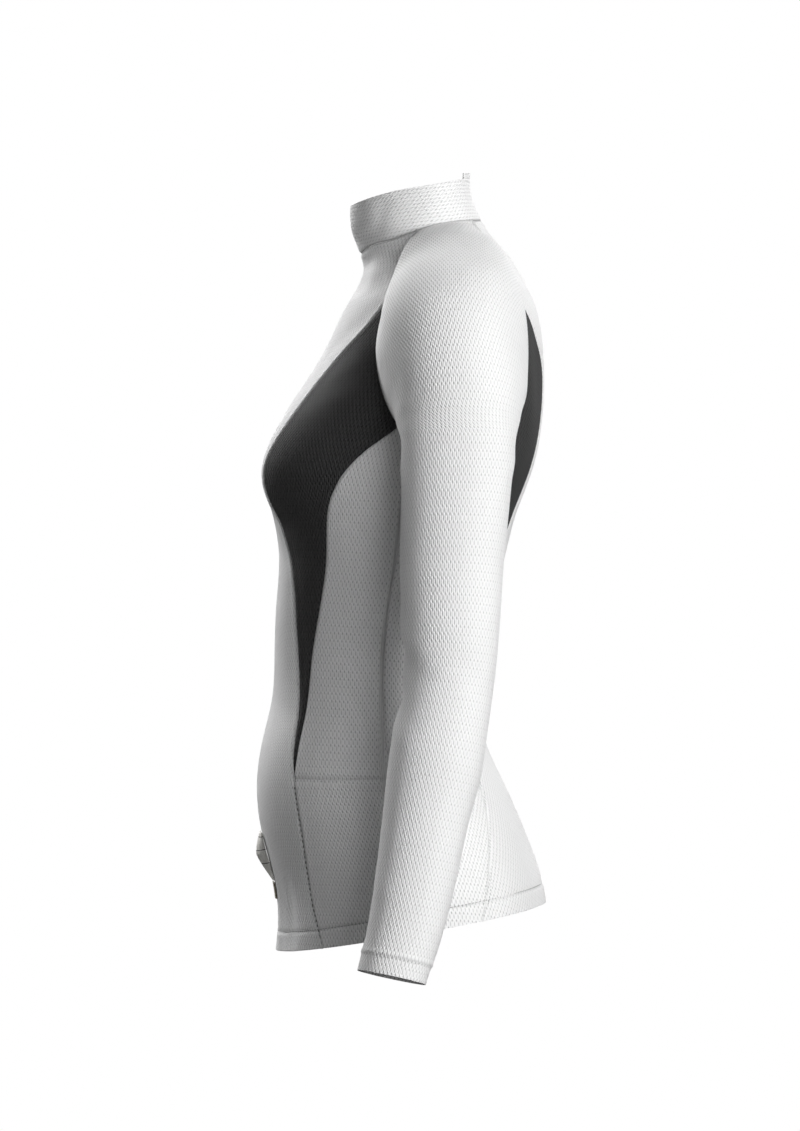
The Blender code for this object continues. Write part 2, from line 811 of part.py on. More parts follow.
def build():
    clear_scene()
    collection = bpy.data.collections.new(NAME)
    bpy.context.scene.collection.children.link(collection)

    front_neck = seam_places(FRONT_RAGLAN_NECK, NECK_ROWS)
    front_arm = seam_places(FRONT_RAGLAN_ARM, ARMHOLE_ROWS)
    front_hole = seam_places(FRONT_ARMHOLE, SIDE_COLUMNS)
    back_neck = seam_places(BACK_RAGLAN_NECK, NECK_ROWS)
    back_arm = seam_places(BACK_RAGLAN_ARM, ARMHOLE_ROWS)
    back_hole = seam_places(BACK_ARMHOLE, SIDE_COLUMNS)
    front_fore = seam_places(FRONT_CONTOUR_FORE, ARMHOLE_ROWS + EDGE_ROWS)
    front_rear = seam_places(FRONT_CONTOUR_REAR, EDGE_ROWS)
    front_low = seam_places(FRONT_PRINCESS, SKIRT_ROWS)
    back_rear = seam_places(BACK_CONTOUR_REAR, ARMHOLE_ROWS + EDGE_ROWS)
    back_fore = seam_places(BACK_CONTOUR_FORE, EDGE_ROWS)
    back_low = seam_places(BACK_PRINCESS, SKIRT_ROWS)
    side_above = seam_places(SIDE_SEAM_ABOVE, EDGE_ROWS)
    side_below = seam_places(SIDE_SEAM_BELOW, SKIRT_ROWS)
    waist = straight(front_rear[-1], side_above[-1], SIDE_COLUMNS)

    collar(collection)
    centre_panel("front_centre", joined(front_neck, front_fore, front_low), 0, collection)
    centre_panel("back_centre", joined(back_neck, back_rear, back_low), 180, collection)

    front_foot = hem_places(front_low[-1][0], side_below[-1][0])
    back_foot = hem_places(side_below[-1][0], back_low[-1][0])
    front_inner = joined(front_arm, front_rear)
    back_inner = joined(back_arm, back_fore)
    side_edge = joined(side_above, side_below)
    back_edge = joined(back_fore, back_low)
    for side, word in ((1, "left"), (-1, "right")):
        contour_panel(f"front_contour_{word}", front_fore, front_inner, side, collection)
        contour_panel(f"back_contour_{word}", back_rear, back_inner, side, collection)
        upper = (front_rear, side_above, front_hole, waist)
        side_panel(f"side_front_upper_{word}", *upper, side, collection)
        lower = (front_low, side_below, waist, front_foot)
        side_panel(f"side_front_lower_{word}", *lower, side, collection)
        rear = (side_edge, back_edge, back_hole[::-1], back_foot)
        side_panel(f"side_back_{word}", *rear, side, collection)
        front_seam = joined(front_neck, front_arm, front_hole)
        back_seam = joined(back_neck, back_arm, back_hole)
        sleeve(f"sleeve_{word}", front_seam, back_seam, side, collection)

    laid_patch("care_label", LABEL_AROUND, LABEL_HEIGHTS, label_lift, LABEL_CLOTH, collection)
    laid_patch("size_patch", PATCH_AROUND, PATCH_HEIGHTS, lambda over, down: 0, PATCH_CLOTH, collection)


build()
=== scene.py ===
import math

import bmesh
import bpy
import numpy as np
from mathutils import Matrix, Vector, noise


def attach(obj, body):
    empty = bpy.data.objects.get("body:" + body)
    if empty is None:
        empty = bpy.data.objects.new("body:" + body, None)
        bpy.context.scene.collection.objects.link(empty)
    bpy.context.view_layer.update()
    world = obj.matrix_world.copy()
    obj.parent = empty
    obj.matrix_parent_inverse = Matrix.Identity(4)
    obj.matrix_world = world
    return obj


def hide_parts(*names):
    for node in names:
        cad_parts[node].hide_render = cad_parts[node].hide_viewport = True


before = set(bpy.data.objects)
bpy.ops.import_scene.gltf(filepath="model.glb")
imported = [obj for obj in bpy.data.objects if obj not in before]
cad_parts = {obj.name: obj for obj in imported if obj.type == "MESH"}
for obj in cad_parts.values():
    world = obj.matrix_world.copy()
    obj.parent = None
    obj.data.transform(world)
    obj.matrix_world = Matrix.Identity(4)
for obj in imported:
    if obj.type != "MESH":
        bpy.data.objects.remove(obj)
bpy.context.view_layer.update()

scene = bpy.context.scene

# Front centre panel: white honeycomb knit, cut in one from the neck seam to the hem. It is sewn to the
# sleeves, to the black contour panels and, below them, to the side front panels. Every panel of the
# body is cut from the form that this table gives, in mm, as in the part's source.
MM = 0.001
BODY = (
    # height, front, back, side, front_half, back_half, front_square, back_square
    (20, -54, 52, 0, 50, 48, 2.0, 2.1),
    (0, -54, 64, 3, 57, 80, 2.0, 2.2),
    (-15, -54, 77, 7, 68, 105, 2.0, 2.3),
    (-30, -51.5, 86.5, 10, 84, 126, 2.0, 2.5),
    (-56, -63.5, 99.5, 10, 109, 148, 2.0, 2.7),
    (-85, -77.8, 107.5, 8, 124.5, 157, 2.1, 2.9),
    (-117, -94.8, 110, 5, 131, 159, 2.3, 3.0),
    (-150, -116, 109.5, 3, 140, 157, 2.5, 3.0),
    (-185, -133.5, 105.5, 0, 149.5, 151, 2.6, 2.9),
    (-215, -139, 98, -12, 150.5, 150.5, 2.6, 2.8),
    (-250, -133, 85.3, -20, 145, 145, 2.5, 2.6),
    (-289, -127.5, 75, -25, 137, 137, 2.4, 2.5),
    (-335, -130.5, 60, -32, 127.5, 127.5, 2.35, 2.35),
    (-376, -131.7, 51.5, -36, 124, 124, 2.3, 2.3),
    (-415, -134, 51, -37, 129, 129, 2.3, 2.3),
    (-454, -142.8, 58.3, -36, 141, 141, 2.3, 2.3),
    (-490, -147.6, 74, -32, 153, 153, 2.3, 2.3),
    (-534, -143.6, 93, -20, 162, 162, 2.3, 2.3),
    (-577, -132, 107.5, -12, 167, 167, 2.3, 2.3),
    (-610, -128.5, 112.5, -8, 169, 169, 2.3, 2.3),
    (-650, -131.5, 114, -8, 170, 170, 2.3, 2.3),
)
BUST = {"rise": 10, "out": 80, "height": -218, "width": 42, "above": 62, "below": 38}
HEM = {"front": -130, "front_height": -640, "back": 113, "back_height": -597.4}
NECK = {"half_width": 55, "front": 54, "back": 54.6, "square": 2.1, "ease": 45}
NECK_HEIGHTS = (
    # y, height
    (-54, -15.3),
    (-46, -10),
    (-33, -6.5),
    (-18, -2.3),
    (-2, 3),
    (14, 7),
    (30, 10.5),
    (46, 13),
    (54.6, 14.3),
)
FRONT_RAGLAN_NECK = ((86, None), (73, -16), (63.5, -33), (60, -46), (58.8, -60))
FRONT_CONTOUR_FORE = (
    # around, height
    (58.8, -60),
    (54, -71),
    (46.5, -88),
    (40.8, -101),
    (36.6, -116),
    (34.4, -133),
    (33.8, -150),
    (32, -176),
    (28.8, -204),
    (28.4, -219),
    (28, -235),
    (27.6, -250),
    (28.6, -265),
    (33, -292),
    (37.2, -315),
    (40, -340),
    (42.4, -370),
    (45, -412),
    (46.6, -445),
    (47.3, -465),
    (48.2, -484),
)
FRONT_PRINCESS = (
    # around, height
    (48.2, -484),
    (49, -510),
    (48.4, -538),
    (46.8, -560),
    (46, -585),
    (47.4, -606),
    (51.5, None),
)


def curve_through(rows):
    """A smooth curve through table rows, whose first column rises or falls all the way."""
    table = np.array(rows, float)
    if table[0, 0] > table[-1, 0]:
        table = table[::-1]
    keys, values = table[:, 0], table[:, 1:]
    steps = np.diff(keys)
    system = np.eye(len(keys))
    turns = np.zeros_like(values)
    slopes = np.diff(values, axis=0) / steps[:, None]
    for i in range(1, len(keys) - 1):
        system[i, i - 1 : i + 2] = steps[i - 1], 2 * (steps[i - 1] + steps[i]), steps[i]
        turns[i] = 6 * (slopes[i] - slopes[i - 1])
    bends = np.linalg.solve(system, turns)

    def value(at):
        i = int(min(max(np.searchsorted(keys, at) - 1, 0), len(keys) - 2))
        low = (keys[i + 1] - at) / steps[i]
        high = 1 - low
        bend = (low**3 - low) * bends[i] + (high**3 - high) * bends[i + 1]
        return low * values[i] + high * values[i + 1] + bend * steps[i] ** 2 / 6

    return value


body_at = curve_through(BODY)
neck_height_at = curve_through(NECK_HEIGHTS)


def ease(share):
    """1 at share 0, falling smoothly to 0 at share 1 and beyond."""
    share = min(max(share, 0), 1)
    return (1 - share) ** 2 * (1 + 2 * share)


def rounded(around, square):
    """Across and forward parts of a superellipse of half size 1, at an angle from the front."""
    turn = math.radians(around)
    across, forward = abs(math.sin(turn)), abs(math.cos(turn))
    reach = (across**square + forward**square) ** (-1 / square)
    return reach * across, reach * forward


def neck_point(around):
    across, forward = rounded(abs(around), NECK["square"])
    y = -NECK["front"] * forward if abs(around) <= 90 else NECK["back"] * forward
    side = math.copysign(1, around)
    return np.array((side * NECK["half_width"] * across, y, neck_height_at(y)[0]))


def plain_body_point(around, height):
    front, back, side, front_half, back_half, front_square, back_square = body_at(height)
    if around > 90:
        across, forward = rounded(around, back_square)
        return np.array((back_half * across, side + (back - side) * forward, height))
    across, forward = rounded(around, front_square)
    x, y = front_half * across, side - (side - front) * forward
    fall = BUST["above"] if height > BUST["height"] else BUST["below"]
    rise = BUST["rise"] * math.exp(-(((x - BUST["out"]) / BUST["width"]) ** 2))
    rise *= math.exp(-(((height - BUST["height"]) / fall) ** 2)) * min(3 * forward, 1)
    return np.array((x, y - rise, height))


def body_point(around, height):
    """A point of the body form, eased onto the neck seam near the neck."""
    neck = neck_point(abs(around))
    below_neck = plain_body_point(abs(around), neck[2])
    point = plain_body_point(abs(around), height)
    point += (neck - below_neck) * ease((neck[2] - height) / NECK["ease"])
    point[0] *= math.copysign(1, around)
    return point


def hem_height(around):
    height = HEM["front_height"]
    slope = (HEM["back_height"] - HEM["front_height"]) / (HEM["back"] - HEM["front"])
    for _ in range(4):
        y = plain_body_point(abs(around), height)[1]
        height = HEM["front_height"] + (y - HEM["front"]) * slope
    return height


SEAM_FINENESS = 12


def lengths_along(points, axis=0):
    """The length from the first point to each one, along an axis of an array of points."""
    steps = np.linalg.norm(np.diff(points, axis=axis), axis=-1)
    return np.cumsum(np.insert(steps, 0, 0, axis=axis), axis=axis)


def seam(rows, shares):
    """Places (around, height) along a seam, at shares of its length."""
    places = []
    for i, (around, height) in enumerate(rows):
        if height is None:
            height = neck_point(around)[2] if i == 0 else hem_height(around)
        places.append((around, height))
    along = curve_through([(i, *place) for i, place in enumerate(places)])
    steps = np.linspace(0, len(places) - 1, SEAM_FINENESS * len(places))
    fine = np.array([along(step) for step in steps])
    points = np.array([body_point(*place) for place in fine])
    lengths = lengths_along(points)
    wanted = np.asarray(shares) * lengths[-1]
    return np.stack([np.interp(wanted, lengths, fine[:, i]) for i in (0, 1)], axis=1)


def joined(*runs):
    return np.concatenate([runs[0], *(run[1:] for run in runs[1:])])


def spread(count, start=(), end=()):
    """Even shares from 0 to 1, with closer ones added near the start and the end."""
    return np.array(sorted({*np.linspace(0, 1, count + 1), *start, *(1 - share for share in end)}))


def panel_places(left, right, top, bottom, overs):
    """Places across a panel from its four edges, a Coons patch in degrees and heights."""
    down = np.linspace(0, 1, len(left))[:, None, None]
    over = overs[None, :, None]
    sides = (1 - over) * left[:, None] + over * right[:, None]
    ends = (1 - down) * top[None] + down * bottom[None]
    corners = (1 - down) * ((1 - over) * top[0] + over * top[-1])
    corners = corners + down * ((1 - over) * bottom[0] + over * bottom[-1])
    return sides + ends - corners


# Lengths of cloth over the body form, across from the middle and down from the neck, in mm.
FORM_ANGLES = np.linspace(0, 180, 91)
FORM_HEIGHTS = np.linspace(20, -650, 135)
FORM = np.array([[body_point(a, h) for a in FORM_ANGLES] for h in FORM_HEIGHTS])
FORM_ACROSS, FORM_DOWN = lengths_along(FORM, axis=1), lengths_along(FORM)


def grain(around, height, middle):
    """Lengths of cloth from the grain line at an angle, and down from the neck, in metres."""
    row = (FORM_HEIGHTS[0] - height) / (FORM_HEIGHTS[0] - FORM_HEIGHTS[1])
    row = np.clip(row, 0, len(FORM_HEIGHTS) - 1.001)
    i, low = int(row), row - int(row)
    column = np.clip(abs(around) / FORM_ANGLES[1], 0, len(FORM_ANGLES) - 1.001)
    j, over = int(column), column - int(column)
    starts = [np.interp(middle, FORM_ANGLES, FORM_ACROSS[k]) for k in (i, i + 1)]
    start = starts[0] * (1 - low) + starts[1] * low
    found = []
    for table in (FORM_ACROSS, FORM_DOWN):
        near = table[i, j] * (1 - over) + table[i, j + 1] * over
        far = table[i + 1, j] * (1 - over) + table[i + 1, j + 1] * over
        found.append(near * (1 - low) + far * low)
    across = (found[0] - start) * math.copysign(1, around)
    return across * MM, -found[1] * MM


# Where the worn cloth is drawn into soft folds: points in mm that a fold runs through on the left
# side, its half width, and how far it stands out (in, where the number is below 0).
BODY_FOLDS = (
    (((10, -55, -26), (34, -45, -22), (52, -30, -22), (64, -18, -30)), 5, -1.5),
    (((6, -57, -36), (34, -50, -34), (60, -33, -38)), 6, 1.2),
    (((20, -61, -50), (50, -54, -47), (74, -36, -52)), 7, -1.0),
    (((44, -34, -16), (54, -42, -34), (64, -50, -54)), 14, 2.4),
    (((38, -48, -20), (50, -44, -28), (62, -32, -27)), 3, -0.9),
    (((42, -54, -36), (54, -49, -32), (62, -40, -24)), 3, 0.7),
    (((92, -44, -72), (70, -62, -92), (48, -84, -112)), 11, -1.1),
    (((120, -50, -128), (104, -72, -140), (88, -98, -160)), 10, -0.9),
    (((30, -143, -252), (66, -136, -258), (96, -112, -262)), 11, -1.6),
    (((20, -132, -300), (64, -124, -306), (100, -98, -312)), 14, 1.0),
    (((128, 14, -205), (112, -30, -226), (104, -62, -244)), 10, -1.0),
    (((120, 0, -340), (108, -60, -352), (70, -108, -362)), 12, -1.1),
    (((118, 20, -372), (90, 44, -384), (40, 52, -390)), 10, -1.5),
    (((124, 0, -392), (90, 40, -402), (30, 52, -408)), 9, 1.2),
    (((20, -140, -420), (70, -124, -428), (112, -86, -436)), 16, -1.2),
    (((140, -10, -470), (120, -80, -486), (80, -124, -500)), 16, -1.1),
    (((150, -40, -560), (156, -20, -600), (158, -12, -640)), 16, 1.3),
    (((84, -116, -570), (88, -112, -605), (92, -108, -640)), 11, -2.2),
    (((50, -138, -560), (54, -130, -600), (56, -128, -642)), 11, 2.8),
    (((70, 88, -540), (74, 94, -575), (76, 98, -605)), 14, -1.4),
    (((20, 98, -548), (22, 104, -580), (24, 110, -604)), 14, 1.2),
    (((110, 60, -540), (122, 68, -580), (128, 72, -610)), 14, 1.2),
    (((100, 88, -90), (92, 98, -120), (80, 104, -160)), 13, -1.3),
    (((40, 90, -52), (60, 98, -90), (66, 104, -140)), 15, 1.0),
)


def folded(points, folds):
    """How far each point stands out for the folds near it."""
    lifts = np.zeros(len(points))
    mirrored = points.copy()
    mirrored[:, 0] = np.abs(mirrored[:, 0])
    for path, width, height in folds:
        path = np.array(path, float)
        nearest = np.full(len(points), 1e9)
        place = np.zeros(len(points))
        for i in range(len(path) - 1):
            step = path[i + 1] - path[i]
            share = np.clip((mirrored - path[i]) @ step / (step @ step), 0, 1)
            distance = np.linalg.norm(mirrored - path[i] - share[:, None] * step, axis=1)
            closer = distance < nearest
            nearest[closer] = distance[closer]
            place[closer] = ((i + share) / (len(path) - 1))[closer]
        wave = np.exp(-((nearest / width) ** 2))
        fade = np.clip(4 * place * (1 - place), 0, 1) ** 0.7
        lifts += height * wave * (0.25 + 0.75 * fade)
    return lifts


# A sewn seam's groove with the turned edge beside it, the hem's stitching and doubled cloth, in mm, and the
# painted shade along the hem's stitching.
GROOVE = {"depth": 0.75, "width": 1.3}
TURNED_EDGE = {"height": 0.3, "place": 4, "width": 2}
HEM_DEPTH = 17.3
HEM_GROOVE = {"depth": 0.7, "width": 1.6}
HEM_STEP = {"height": 0.35, "width": 0.8}
HEM_SHADE = {"share": 0.24, "width": 0.9}


def bell(distance, width):
    return np.exp(-((distance / width) ** 2))


def seam_dip(distance):
    edge = TURNED_EDGE["height"] * bell(distance - TURNED_EDGE["place"], TURNED_EDGE["width"])
    return edge - GROOVE["depth"] * bell(distance, GROOVE["width"])


def hem_dip(distance):
    """The hem is drawn in along its stitching and thicker below it."""
    step = np.clip((distance - HEM_DEPTH + 1) / HEM_STEP["width"], -30, 30)
    groove = HEM_GROOVE["depth"] * bell(distance - HEM_DEPTH, HEM_GROOVE["width"])
    return HEM_STEP["height"] / (1 + np.exp(step)) - groove


class Wire:
    """A shader socket in Python sums: an expression on wires adds its Math nodes."""

    def __init__(self, tree, socket):
        self.tree, self.socket = tree, socket

    def node(self, kind, settings, sockets, output=0):
        made = self.tree.nodes.new(kind)
        for name, value in settings.items():
            setattr(made, name, value)
        for name, value in sockets.items():
            if isinstance(value, Wire):
                self.tree.links.new(value.socket, made.inputs[name])
            else:
                made.inputs[name].default_value = value
        return Wire(self.tree, made.outputs[output])

    def sum(self, operation, other=0.0):
        return self.node("ShaderNodeMath", {"operation": operation}, {0: self, 1: other})

    def __add__(self, other):
        return self.sum("ADD", other)

    def __sub__(self, other):
        return self.sum("SUBTRACT", other)

    def __mul__(self, other):
        return self.sum("MULTIPLY", other)

    def split(self):
        """Its parts across and down."""
        across = self.node("ShaderNodeSeparateXYZ", {}, {0: self})
        return across, Wire(self.tree, across.socket.node.outputs[1])


def grey(shade):
    return (shade, shade, shade, 1)


def shaded(name, values):
    """A material and its shader, with values for its inputs."""
    material = bpy.data.materials.new(name)
    material.use_nodes = True
    shader = material.node_tree.nodes["Principled BSDF"]
    for key, value in values.items():
        shader.inputs[key].default_value = value
    return material, shader


def cloth_material(name, roughness, sheen, shine=0.3):
    values = {"Roughness": roughness, "Specular IOR Level": shine}
    material, shader = shaded(name, {**values, "Sheen Weight": sheen, "Sheen Roughness": 0.5})
    uv = material.node_tree.nodes.new("ShaderNodeUVMap")
    uv.uv_map = "cloth"
    return material, shader, Wire(material.node_tree, uv.outputs[0])


def mixed(wire, share, first, second):
    """A colour between two, at a share from 0 to 1."""
    settings = {"data_type": "RGBA", "clamp_factor": True}
    return wire.node("ShaderNodeMix", settings, {0: share, 6: first, 7: second}, output=2)


RELIEF = {"rib": 0.3, "pits": 0.7, "long_pits": 0.2}


def knit(name, yarn, painted_pit_shade, painted_seam_shade, stitch=(3.8, 6.7), slant=0, depth=0.62, sheen=0.1, shine=0.3):
    """Honeycomb knit: long upright pits, each row half a stitch beside the last, in greys for the yarn, the
    painted shade in the pits and the painted shade in the seams. Stitch is the width and height of its
    repeat in mm."""
    material, shader, uv = cloth_material(name, 0.78, sheen, shine)
    turned = uv.node("ShaderNodeMapping", {}, {"Vector": uv, "Rotation": (0, 0, math.radians(slant))})
    across, down = turned.split()
    across = across * (2 * math.pi / (stitch[0] * MM))
    down = down * (2 * math.pi / (stitch[1] * MM))
    rib = (across * 2).sum("COSINE") * RELIEF["rib"]
    row = across.sum("COSINE") * down.sum("COSINE") * RELIEF["pits"]
    uneven = across.sum("COSINE") * (down * 2).sum("COSINE") * RELIEF["long_pits"]
    relief = rib + row + uneven
    hollow = (relief - 0.1).sum("MAXIMUM")
    fuzz = uv.node("ShaderNodeTexNoise", {}, {"Vector": uv, "Scale": 1400.0, "Detail": 2.0})
    cloudy = uv.node("ShaderNodeTexNoise", {}, {"Vector": uv, "Scale": 14.0, "Detail": 3.0})
    # The pits are darkened in the base colour as painted shade; the cloudy noise is the yarn's own uneven
    # tone.
    pit_shade_and_cloud = hollow * 0.9 + (cloudy - 0.5) * 0.25
    colour = mixed(uv, pit_shade_and_cloud, grey(yarn), grey(painted_pit_shade))
    # Painted shade along the sewn seams and the hem, read from the vertex attribute that sew fills in.
    seam_shade_share = uv.node("ShaderNodeAttribute", {"attribute_name": "painted_seam_shade"}, {}, output=2)
    colour = mixed(uv, seam_shade_share, colour, grey(painted_seam_shade))
    height = fuzz * 0.15 - relief * 0.6
    bump = uv.node("ShaderNodeBump", {}, {"Height": height, "Distance": depth * MM, "Strength": 1.0})
    uv.tree.links.new(colour.socket, shader.inputs["Base Color"])
    uv.tree.links.new(bump.socket, shader.inputs["Normal"])
    rough = hollow * 0.1 + 0.75
    uv.tree.links.new(rough.socket, shader.inputs["Roughness"])
    return material


CLOTH = 1.2
SLACK = {"height": 0.5, "size": 55}
BODY_AXIS_Y = -20
white_knit = knit("white_knit", yarn=0.88, painted_pit_shade=0.53, painted_seam_shade=0.14)


def finished(bm, name, material):
    """A mesh made a smooth object of the scene, with its material."""
    mesh = bpy.data.meshes.new(name)
    bm.to_mesh(mesh)
    bm.free()
    mesh.shade_smooth()
    mesh.materials.append(material)
    piece = bpy.data.objects.new(name, mesh)
    scene.collection.objects.link(piece)
    return piece


def weld_map(ends, spot_of, columns):
    """Joins each last-column point to the first-column point of its row."""
    first = {spot_of[v][0]: v for v in ends if spot_of[v][1] == 0}
    return {v: first[spot_of[v][0]] for v in ends if spot_of[v][1] == columns - 1}


def sew(
    name, points, lengths, material, slot, held_by, side=1, edges=None, folds=(), closed_from=None, tab=None
):
    """Makes a sheet of cloth from a grid of points in mm, with UVs in metres of cloth, puts in its
    folds and the lifts of its edges, paints the shade along its seams into a vertex attribute, gives it its
    thickness, and has it stand for the CAD node of its name. Rows from closed_from on are closed into
    rings."""
    rows, columns = points.shape[:2]
    bm = bmesh.new()
    bmesh.ops.create_grid(bm, x_segments=columns - 1, y_segments=rows - 1, size=0.5)
    uv_layer = bm.loops.layers.uv.new("cloth")
    shade = bm.verts.layers.float.new("painted_seam_shade")
    spots = {}
    for vert in bm.verts:
        spots[vert] = (round((0.5 - vert.co.y) * (rows - 1)), round((vert.co.x + 0.5) * (columns - 1)))
    for vert, spot in spots.items():
        vert.co = points[spot]
    for face in bm.faces:
        for loop in face.loops:
            across, down = lengths[spots[loop.vert]]
            loop[uv_layer].uv = (side * across, down)
    if closed_from is not None:
        ends = [v for v, spot in spots.items() if spot[1] in (0, columns - 1) and spot[0] >= closed_from]
        bmesh.ops.weld_verts(bm, targetmap=weld_map(ends, spots, columns))
        spots = {v: spots[v] for v in bm.verts}
    bmesh.ops.recalc_face_normals(bm, faces=bm.faces)
    bm.normal_update()
    sample = max(bm.faces, key=lambda face: face.calc_area())
    middle = points.reshape(-1, 3).mean(axis=0)
    if closed_from is None:
        middle = np.array((0, BODY_AXIS_Y, middle[2]))
    if sample.normal.dot(sample.calc_center_median() - Vector(middle)) < 0:
        bmesh.ops.reverse_faces(bm, faces=bm.faces)
        bm.normal_update()
    verts = list(bm.verts)
    places = np.array([vert.co for vert in verts])
    normals = np.array([vert.normal for vert in verts])
    out = folded(places, folds)
    out += np.array([SLACK["height"] * noise.noise(Vector(place) / SLACK["size"]) for place in places])
    if edges is not None:
        out += np.array([edges[0][spots[vert]] for vert in verts])
        # Each point's share of painted seam shade, stored for the knit to darken its colour by.
        for vert in verts:
            vert[shade] = edges[1][spots[vert]]
    for vert, place, normal, lift in zip(verts, places, normals, out):
        vert.co = place + normal * lift
    if tab:
        tab(bm, spots, uv_layer)
    bmesh.ops.scale(bm, vec=(side * MM, MM, MM), verts=bm.verts)
    if side < 0:
        bmesh.ops.reverse_faces(bm, faces=bm.faces)
    area = sum(face.calc_area() for face in bm.faces)
    piece = finished(bm, name + "_cloth", material)
    wall = piece.modifiers.new("wall", "SOLIDIFY")
    wall.thickness = CLOTH * MM
    wall.offset = -1
    edge = piece.modifiers.new("edge", "BEVEL")
    edge.width = 0.4 * MM
    edge.segments = 2
    edge.limit_method = "ANGLE"
    edge.angle_limit = math.radians(60)
    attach(piece, "root")
    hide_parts(name)
    return piece


def lengths_from(points, edge):
    """The length to each point of a grid from one of its edges."""
    axis = 1 if edge in ("left", "right") else 0
    if edge in ("left", "top"):
        return lengths_along(points, axis)
    return np.flip(lengths_along(np.flip(points, axis), axis), axis)


def sewn_edges(points, seams, hem=False):
    """How far each point of a grid stands out for its sewn edges, and how deep in painted shade it lies.
    Seams gives the share of painted shade along each edge."""
    lifts, shades = np.zeros(points.shape[:2]), np.zeros(points.shape[:2])
    for edge, shade in seams.items():
        run = lengths_from(points, edge)
        lifts += seam_dip(run)
        shades = np.maximum(shades, shade * bell(run, GROOVE["width"]))
    if hem:
        run = lengths_from(points, "bottom")
        lifts += hem_dip(run)
        shades = np.maximum(shades, HEM_SHADE["share"] * bell(run - HEM_DEPTH, HEM_SHADE["width"]))
    return lifts, shades


def panel(name, left, right, top, bottom, overs, middle, material, slot, held_by, side, seams, hem=False):
    places = panel_places(left, right, top, bottom, overs)
    points = np.array([[body_point(*place) for place in row] for row in places])
    lengths = np.array([[grain(*place, middle) for place in row] for row in places])
    edges = sewn_edges(points, seams, hem)
    sew(name, points, lengths, material, slot, held_by, side=side, edges=edges, folds=BODY_FOLDS)


# Shares of a seam's length at which the rows of the grids beside it lie.
SEAM_SHARES = (0.006, 0.014, 0.026, 0.045)
NECK_SHARES = spread(22, start=(0.01, 0.025, 0.06))
ARM_SHARES = spread(28)
EDGE_SHARES = spread(76)
HEM_SHARES = spread(34, end=(0.01, 0.03, 0.045, 0.075, 0.09, 0.1, 0.11, 0.12, 0.135))


def centre_panel(name, half_seam, middle, shade, held_by):
    """A panel across the middle, whose left half's seam is given."""
    heights = half_seam[:, 1]
    share = (heights - heights[-1]) / (heights[0] - heights[-1])
    hem_middle, neck_middle = hem_height(middle), neck_point(middle)[2]
    middle_heights = hem_middle + share * (neck_middle - hem_middle)
    centre = np.stack([np.full(len(heights), middle), middle_heights], axis=1)
    overs = spread(30, end=SEAM_SHARES)
    ends = []
    for row, height in ((0, lambda a: neck_point(a)[2]), (-1, hem_height)):
        arounds = middle + overs * (half_seam[row][0] - middle)
        ends.append(np.array([(a, height(a)) for a in arounds]))
    places = panel_places(centre, half_seam, *ends, overs)
    half = np.array([[body_point(*place) for place in row] for row in places])
    half[:, 0, 0] = 0
    lengths = np.array([[grain(*place, middle) for place in row] for row in places])
    half_edges = sewn_edges(half, {"right": shade, "top": 0.5}, hem=True)
    flip = np.array((-1, 1, 1))
    points = np.concatenate([half[:, :0:-1] * flip, half], axis=1)
    lengths = np.concatenate([lengths[:, :0:-1] * flip[:2], lengths], axis=1)
    edges = [np.concatenate([grid[:, :0:-1], grid], axis=1) for grid in half_edges]
    sew(name, points, lengths, white_knit, "white_knit", held_by, edges=edges, folds=BODY_FOLDS)


front_neck = seam(FRONT_RAGLAN_NECK, NECK_SHARES)
front_fore = seam(FRONT_CONTOUR_FORE, spread(104))
front_low = seam(FRONT_PRINCESS, HEM_SHARES)
front_seam = joined(front_neck, front_fore, front_low)
centre_panel("front_centre", front_seam, 0, 0.35, ["collar", "sleeve_left", "sleeve_right"])

# Back centre panel: white honeycomb knit in one from the neck seam to the hem, between the raglan
# seams, the black back contours and the back princess seams.
BACK_RAGLAN_NECK = ((143.5, None), (146, -3), (147, -20), (145, -37), (141, -64))
BACK_CONTOUR_REAR = (
    # around, height
    (141, -64),
    (144.7, -75),
    (148.5, -92),
    (152.6, -106),
    (156, -121),
    (158.5, -145),
    (159.2, -172),
    (158.6, -205),
    (158.4, -236),
    (156, -265),
    (151.5, -300),
    (147.5, -345),
    (144.5, -395),
    (141.6, -445),
    (140.4, -465),
    (139, -484),
)
BACK_PRINCESS = (
    # around, height
    (139, -484),
    (138.6, -500),
    (135.6, -518),
    (132, -536),
    (127.6, -560),
    (122.6, -590),
    (119.6, None),
)
back_neck = seam(BACK_RAGLAN_NECK, NECK_SHARES)
back_rear = seam(BACK_CONTOUR_REAR, spread(104))
back_low = seam(BACK_PRINCESS, HEM_SHARES)
back_seam = joined(back_neck, back_rear, back_low)
centre_panel("back_centre", back_seam, 180, 0.12, ["collar", "sleeve_left", "sleeve_right"])

